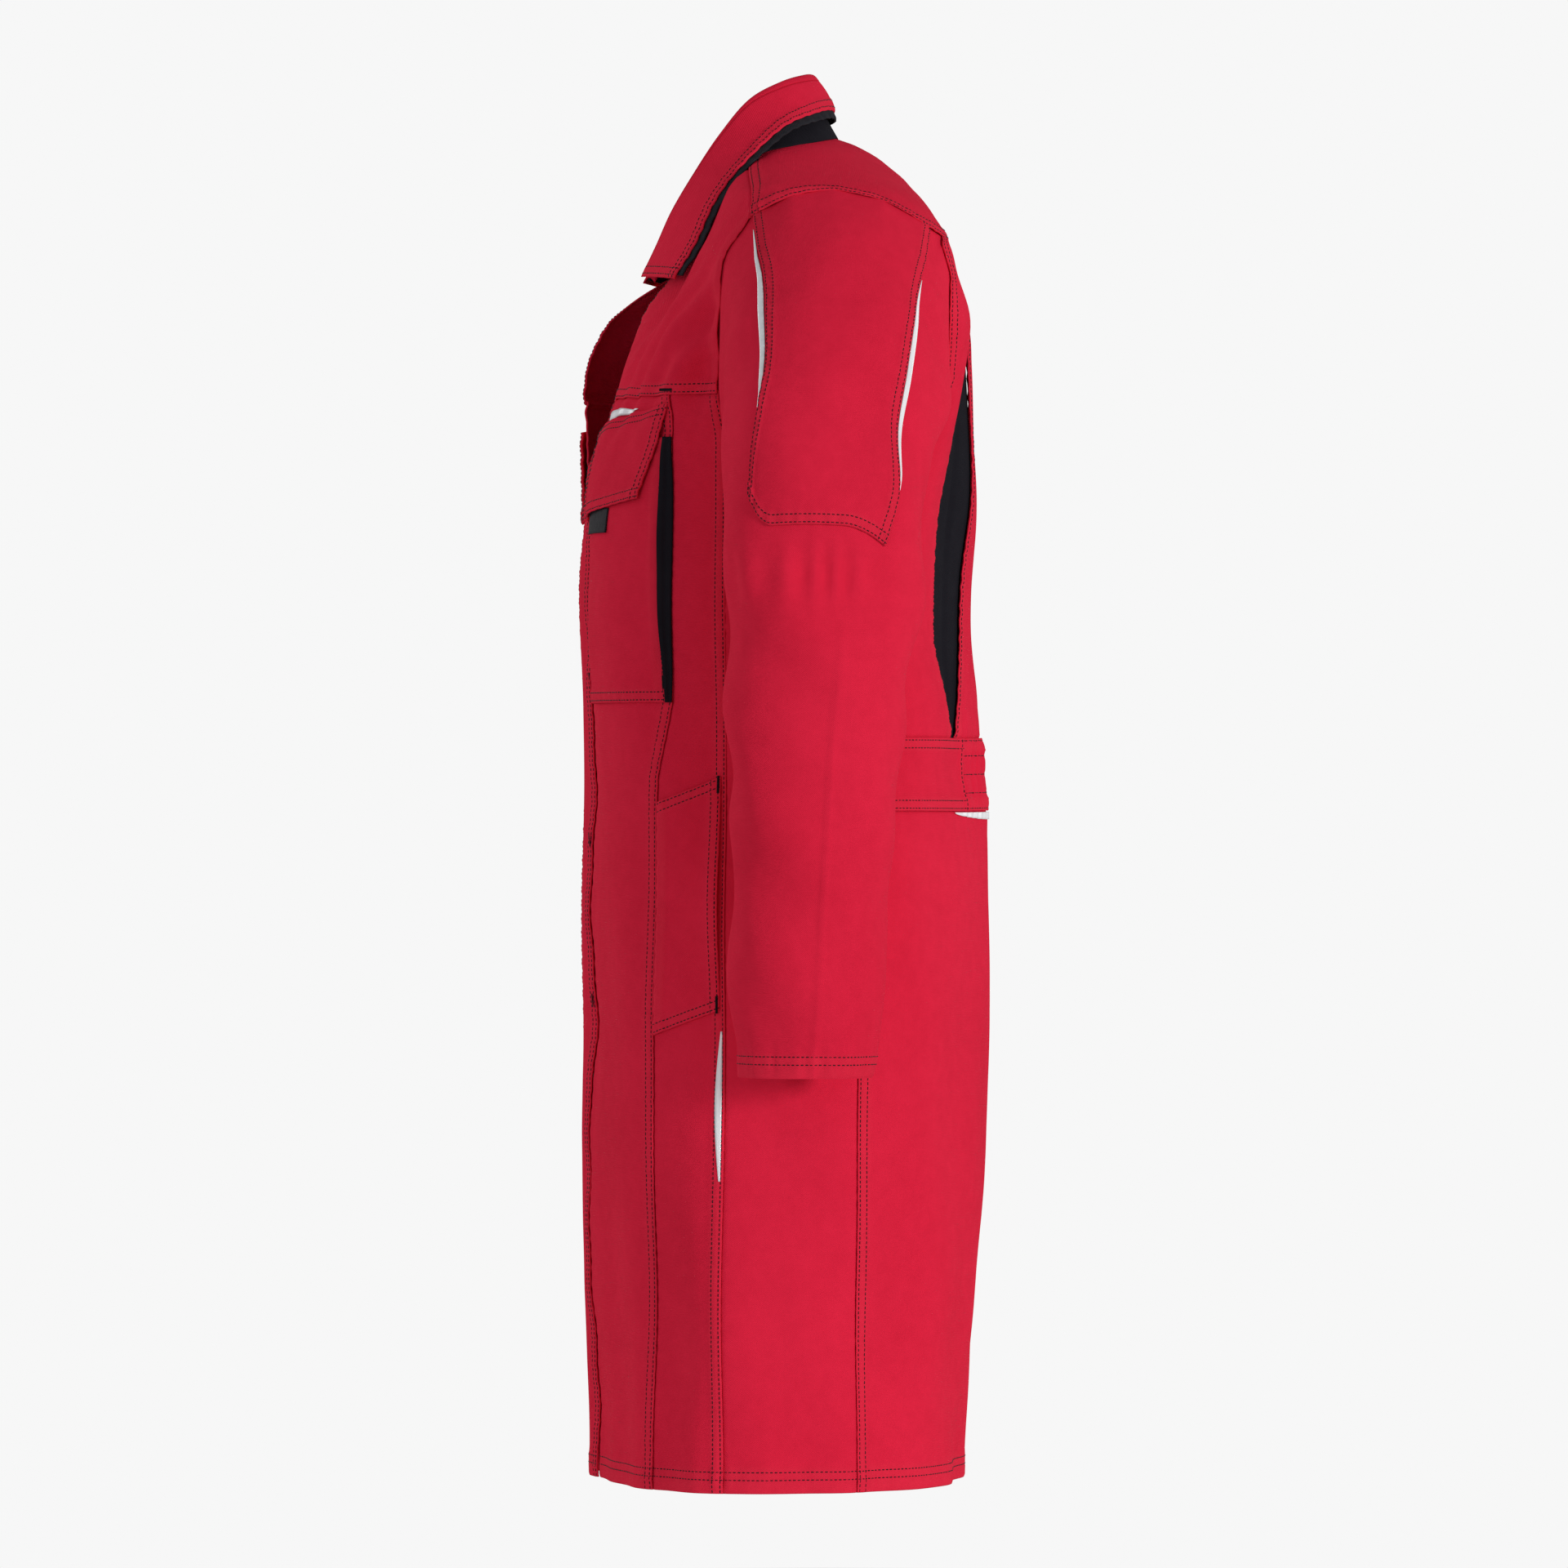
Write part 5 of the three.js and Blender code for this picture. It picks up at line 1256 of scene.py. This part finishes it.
# sleeves
sleeve = {"centreDrop": 177.8, "startX": 215.35, "halfHigh": 122, "halfDeep": 90, "centreY": 3.5,
    "upper": 78, "cuffDeep": 52.5, "cuffWide": 46,
          "drop": 735, "sides": 132, "slip": 8.0, "slipAlong": 0.0079, "joinAlong": 0.11}
sleeveAt = smoothTable([
    # how far along, centre x, centre y, centre drop, tilt, half width, half depth
    [0, sleeve["startX"], sleeve["centreY"], sleeve["centreDrop"], 90, sleeve["halfHigh"],
    sleeve["halfDeep"]],
    [0.12, 244, sleeve["centreY"], 208, 75, 105, sleeve["halfDeep"] - 2],
    [0.24, 272, 0, 260, 47, 83, sleeve["upper"] + 4],
    [0.34, 286, -5, 325, 14, 69, sleeve["upper"]],
    [0.54, 292, -10, 457, 0, 60, 68],
    [0.7, 296, -15, 562, 0, 55, 60],
    [0.85, 298, -19, 650, 0, 50, 56.5],
    [1, 300, -22, sleeve["drop"], 0, sleeve["cuffWide"], sleeve["cuffDeep"]],
])


def armholeLine():
    # the body's own armhole edge, once round: shoulder, back, underarm, front
    over = [(float(sideY(y, d)), d) for y, d in ((-62, 74.5), (-30, 60), (2, 54.5), (40, 63), (72, 81),
        (85, 91))]
    back = [(float(sideY(backArmholeY(d), d)), d)
        for d in (100, 112, 125, 150, 180, 210, 240, 262, 280, 294)]
    share = np.linspace(1, 0, 12)
    a0, a1 = float(sideFront(np.array(245.0))), float(sideBack(np.array(304.0)))
    under = [(a0 + (a1 - a0) * s, 245 + 59 * math.sin(s * math.pi / 2)) for s in share]
    ahead = [(float(sideY(y, d)), d) for y, d in ((-84, 228), (-86.5, 212), (-86.5, 181), (-86.5, 150),
        (-85, 125), (-83, 112), (-80.5, 102), (-76, 94), (-70, 86))]
    return np.array(over + back + under + ahead)


def slipUnder(line, reach):
    # the same line moved away from the armhole, under the body's cloth
    around = np.linalg.norm(onForm(line[:, 0] + 0.004, line[:, 1])
        - onForm(line[:, 0] - 0.004, line[:, 1]), axis=-1) / 0.008
    down = np.linalg.norm(onForm(line[:, 0], line[:, 1] + 0.5) - onForm(line[:, 0], line[:, 1] - 0.5),
        axis=-1)
    measure = np.stack([np.maximum(around, 40), down], -1)
    run = (np.roll(line, -1, 0) - np.roll(line, 1, 0)) * measure
    away = unit(np.stack([run[:, 1], -run[:, 0]], -1))
    if (away * (line - line.mean(0)) * measure).sum(-1).mean() < 0:
        away = -away
    return line + away * reach / measure


armLine = armholeLine()
armSpots = onCloth(armLine[:, 0], armLine[:, 1], -1.2)
underSpots = onCloth(*slipUnder(armLine, sleeve["slip"]).T, -2.6)
armTurn = np.arctan2((armSpots[:, 2] + sleeve["centreDrop"]) / sleeve["halfHigh"],
    (sleeve["centreY"] - armSpots[:, 1]) / sleeve["halfDeep"])
# turn 0 is the front of the sleeve, a quarter turn its top or outside
order = np.argsort(armTurn)
armKeys = np.concatenate([armTurn[order] - 2 * math.pi, armTurn[order], armTurn[order] + 2 * math.pi])
armValues = np.tile(armSpots[order], (3, 1))
underValues = np.tile(underSpots[order], (3, 1))


def sleeveFolds(turn, along, spot):
    a = (turn + math.pi) % (2 * math.pi) - math.pi
    outside = smooth(np.sin(a), -0.2, 0.6)
    lift = 2.2 * (waves(spot, 160, 11) + 0.7 * waves(spot * [1, 1, 0.7], 66, 12)) * smooth(along, 0.05, 0.2)
    pull = np.sin(a * 7 + along * 30) * bump(along, 0.17, 0.09) * 2.4 * (1 - 0.6 * outside)
    below = np.sin(spot[..., 1] / 3.4 + 1.4 * np.sin(spot[..., 1] / 15)) * bump(along, 0.4,
        0.026) * outside * 1.9
    bend = 3.0 * np.sin((spot[..., 2] + 0.75 * spot[..., 1]) / 17
        + 1.2 * np.sin(spot[..., 1] / 30)) * bump(along, 0.6, 0.14)
    bend = bend * (0.35 + 0.65 * (1 - outside))
    crease = 1.7 * bump(a, 1.85 - 0.12 * along, 0.035) * smooth(along, 0.42, 0.5)
    cuff = 0.9 * np.sin(a * 9 + 1) * smooth(along, 0.88, 1)
    return lift + pull + below + bend + crease + cuff


def onSleeve(turn, along, out=0.0):
    turn, along = np.broadcast_arrays(np.asarray(turn, float), np.asarray(along, float))
    x, y, drop, tilt, wide, deep = sleeveAt(along)
    lean = np.radians(tilt)
    across = (wide + out) * np.sin(turn)
    spot = np.stack([x + across * np.cos(lean), y - (deep + out) * np.cos(turn),
        -drop + across * np.sin(lean)], -1)
    return spot


def sleeveSurface(turn, along):
    # the sleeve head runs into the body's armhole edge and slips under it
    turn, along = np.broadcast_arrays(np.asarray(turn, float), np.asarray(along, float))
    free = np.clip((along - sleeve["slipAlong"]) / (1 - sleeve["slipAlong"]), 0, 1)
    spot = onSleeve(turn, free)
    a = (turn + math.pi) % (2 * math.pi) - math.pi
    read = lambda values: np.stack([np.interp(a, armKeys, values[:, k]) for k in range(3)], -1)
    target = read(armValues)
    spot = spot + (target - onSleeve(turn, along * 0)) * (1 - smooth(free, 0, sleeve["joinAlong"]))[...,
        None]
    under = np.clip(1 - along / sleeve["slipAlong"], 0, 1)[..., None]
    return spot + (read(underValues) - target) * under


def sleeveNormal(turn, along):
    e = 0.004
    around = sleeveSurface(turn + 0.02, along) - sleeveSurface(turn - 0.02, along)
    up = sleeveSurface(turn, np.clip(along - e, 0, 1)) - sleeveSurface(turn, np.clip(along + e, 0, 1))
    return unit(np.cross(around, up))


def sleeveCloth(turn, along):
    base = sleeveSurface(turn, along)
    normal = sleeveNormal(turn, along)
    calm = smooth(along, sleeve["slipAlong"], 0.06)
    return base + normal * (sleeveFolds(turn, along, base) * calm)[..., None], normal


def sleevePart(name, turn, along, out, material, edges, thick, extra, sign, wrap=False, seed=None):
    base, normal = sleeveCloth(turn, along)
    if sign < 0:
        base, normal = base[::-1] * [-1, 1, 1], normal[::-1] * [-1, 1, 1]
        edges = {**edges, "a": edges.get("b"), "b": edges.get("a")}
        extra = extra[::-1] if extra is not None else None
    return finishGrid(name, base, normal, out, material, edges, thick, extra, wrap, seed)


patch = {"low": 0.352, "high": 0.004, "lift": 1.5, "tip": 0.014, "corner": 0.03,
         "front": [(0, 44), (0.094, 46), (0.18, 50.5), (0.29, 53.5), (0.5, 53), (0.68, 51.5), (0.76, 50),
         (1, 50.5)],
         "back": [(0, 127), (0.12, 131.5), (0.5, 133.5), (0.8, 138), (1, 136)]}
patchFront, patchBack = byDrop(patch["front"]), byDrop(patch["back"])
for side, sign in (("left", 1), ("right", -1)):
    near, far = ("a", "b") if sign > 0 else ("b", "a")
    turns = np.linspace(0, 2 * math.pi, sleeve["sides"] + 1) - math.pi / 2
    rows = 1 - lineShares(690, 4.6, True, True)
    turn, along = np.meshgrid(turns, rows, indexing="ij")
    tube = sleevePart(f"sleeve_cloth_{side}", turn, along, 0.0, redTwill, {"low": "hem"}, 1.2, None, sign,
        wrap=True)
    topstitch(f"{side}_sleeve", tube, "low", (10.5, 16.5))
    made[f"sleeve_{side}"] = tube
    # shoulder patch: rounded at its lower front corner, pointed at its lower back corner
    columns = lineShares(170, 3.4, True, True)
    lines = lineShares(245, 3.6, True, False)
    u, v = np.meshgrid(columns, lines, indexing="ij")
    turn = np.radians(patchFront(v) + (patchBack(v) - patchFront(v)) * u)
    lowEdge = patch["low"] + 0.004 * u + patch["tip"] * np.clip((u - 0.7) / 0.3, 0,
        1) ** 1.6 - patch["corner"] * np.clip(1 - u / 0.2, 0, 1) ** 2
    along = lowEdge + (patch["high"] - lowEdge) * v
    patchPiece = sleevePart(f"sleeve_patch_cloth_{side}", turn, along, patch["lift"], redTwill,
        {"a": "fold", "b": "fold", "low": "fold", "high": "plain"}, 1.1, None, sign)
    for edge in ("a", "b", "low"):
        topstitch(f"{side}_sleeve", patchPiece, edge)
    made[f"patch_{side}"] = patchPiece
    # leaf-shaped inserts beside the patch
    for label, edge, way, leafHigh, leafLow in (("front", patchFront, -1, 0.05, 0.292),
            ("back", patchBack, 1, 0.105, 0.33)):
        s = np.linspace(0, 1, 44)
        w = np.linspace(0, 1, 5)
        share, part = np.meshgrid(s, w, indexing="xy")
        leafAlong = leafLow + (leafHigh - leafLow) * share
        beside = np.radians(edge((leafAlong - patch["low"]) / (patch["high"] - patch["low"])) + way * 0.5)
        wide = np.radians(0.2 + 3.1 * np.sin(math.pi * share))
        leafTurn = beside + (wide * (part - 1) if way < 0 else wide * part)
        made[f"sleeve_{label}_piping_{side}"] = sleevePart(f"sleeve_insert_{label}_{side}", leafTurn,
            leafAlong, 1.4, reflectiveTape, {}, 0.8, None, sign)
print("stage: sleeves made")

# thread
threads = {group: buildThread(group, slateThread) for group in stitchRows}
print("stage: thread sewn,", sum(len(t.data.vertices) // 12 for t in threads.values()), "stitches")

# what each piece stands for, and what it moves with
pieceOf = lambda key: made[key]["piece"]
stands = {
    "yoke": ["yoke"], "back": ["back_panel"], "elastic": ["waistband_elastic"],
    "back_skirt": ["back_skirt"],
    "waist_piping": ["waist_piping"], "right_front": ["front_centre_right"], "underlap": ["underlap_right"],
    "collar_leaf": ["collar_leaf"], "collar_under": ["collar_under"], "collar_stand": ["collar_stand"],
    "loop": ["hanging_loop"],
    "left_front": ["front_centre_left"], "placket": ["front_skirt_left"],
    "fly": ["fly_strip_left", "skirt_fly_strip_left"], "collar_fold": [],
}
for side in ("left", "right"):
    stands.update({
        f"back_side_{side}": [f"back_side_{side}"], f"pleat_{side}": [f"action_pleat_{side}"],
        f"band_{side}": [f"waistband_{side}"],
        f"side_{side}": [f"side_panel_{side}"], f"front_side_{side}": [f"front_side_{side}"],
        f"upper_{side}": [f"front_upper_{side}"],
        f"pocket_{side}": [f"chest_pocket_{side}"], f"bellows_{side}": [f"pocket_bellows_{side}"],
        f"flap_{side}": [f"chest_flap_{side}"],
        f"flap_piping_{side}": [f"flap_piping_{side}"], f"tab_{side}": [f"pull_tab_{side}"],
        f"side_pocket_{side}": [f"side_pocket_{side}"],
        f"side_piping_{side}": [f"side_piping_{side}"], f"sleeve_{side}": [f"sleeve_{side}"],
        f"patch_{side}": [f"sleeve_patch_{side}"],
        f"sleeve_front_piping_{side}": [f"sleeve_piping_front_{side}"],
        f"sleeve_back_piping_{side}": [f"sleeve_piping_back_{side}"]})
opening = {"start": (0.150, -0.133, -0.520), "end": (0.030, -0.190, -0.800)}


def followSleeve(piece):
    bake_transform(piece)


for key, nodes in stands.items():
    piece = pieceOf(key)
    if nodes:
        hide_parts(*nodes)
    if key in ("left_front", "placket", "fly"):
        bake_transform(piece)
    elif key.startswith(("sleeve_", "patch_")):
        followSleeve(piece)
    elif key.startswith(("flap_left", "tab_left")):
        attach(piece, "left_flap")
    elif key.startswith(("flap_right", "tab_right")):
        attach(piece, "right_flap")
    else:
        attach(piece, "coat_body")
for group, piece in threads.items():
    if group == "coat":
        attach(piece, "coat_body")
    elif group == "front":
        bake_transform(piece)
    elif group.endswith("sleeve"):
        followSleeve(piece)
    else:
        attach(piece, group)

# floor, backdrop and light
studio = {"floor": -1.22, "radius": 1.15, "white": (0.95, 0.95, 0.95), "world": 0.36, "seen": 0.93}


def paleFloor():
    # a round pale floor under the coat; beyond it the white room is seen
    rim = [(studio["radius"] * math.cos(t), studio["radius"] * math.sin(t), studio["floor"])
           for t in np.linspace(0, 2 * math.pi, 97)[:-1]]
    mesh = bpy.data.meshes.new("floorDisc")
    mesh.from_pydata(rim, [], [tuple(range(len(rim)))])
    floor = bpy.data.objects.new("floorDisc", mesh)
    scene.collection.objects.link(floor)
    pale = plainMaterial("paleFloor", studio["white"], 0.9)[0]
    mesh.materials.append(pale)


paleFloor()
lights = [
    # name, place, size, power, colour, what it is aimed at
    ("keySoft", (4.4, 4.0, 0.1), 1.2, 178, (1.0, 0.99, 0.98), (0, 0, -0.5)),
    ("frontSoft", (4.6, -3.4, 0.0), 1.8, 34, (0.98, 0.99, 1.0), (0, 0, -0.5)),
    ("edgeBack", (-2.4, 3.2, 0.6), 1.8, 26, (1, 1, 1), (0, 0, -0.5)),
    ("edgeFront", (-2.2, -3.2, 0.6), 1.8, 30, (1, 1, 1), (0, 0, -0.5)),
]
for name, place, size, power, color, aim in lights:
    lamp = bpy.data.lights.new(name, "AREA")
    lamp.shape = "DISK"
    lamp.size = size
    lamp.energy = power
    lamp.color = color
    holder = bpy.data.objects.new(name, lamp)
    holder.location = place
    holder.rotation_euler = (Vector(aim) - Vector(place)).to_track_quat("-Z", "Y").to_euler()
    scene.collection.objects.link(holder)
world = bpy.data.worlds.new("studioWorld")
scene.world = world
world.use_nodes = True
studioLight = world.node_tree.nodes["Background"]
studioLight.inputs[0].default_value = (1, 1, 1, 1)
# the eye sees a white room, the cloth is lit by a dimmer one
seen = world.node_tree.nodes.new("ShaderNodeLightPath")
level = world.node_tree.nodes.new("ShaderNodeMapRange")
level.inputs["To Min"].default_value = studio["world"]
level.inputs["To Max"].default_value = studio["seen"]
world.node_tree.links.new(seen.outputs["Is Camera Ray"], level.inputs["Value"])
world.node_tree.links.new(level.outputs["Result"], studioLight.inputs[1])
print("stage: studio lit")
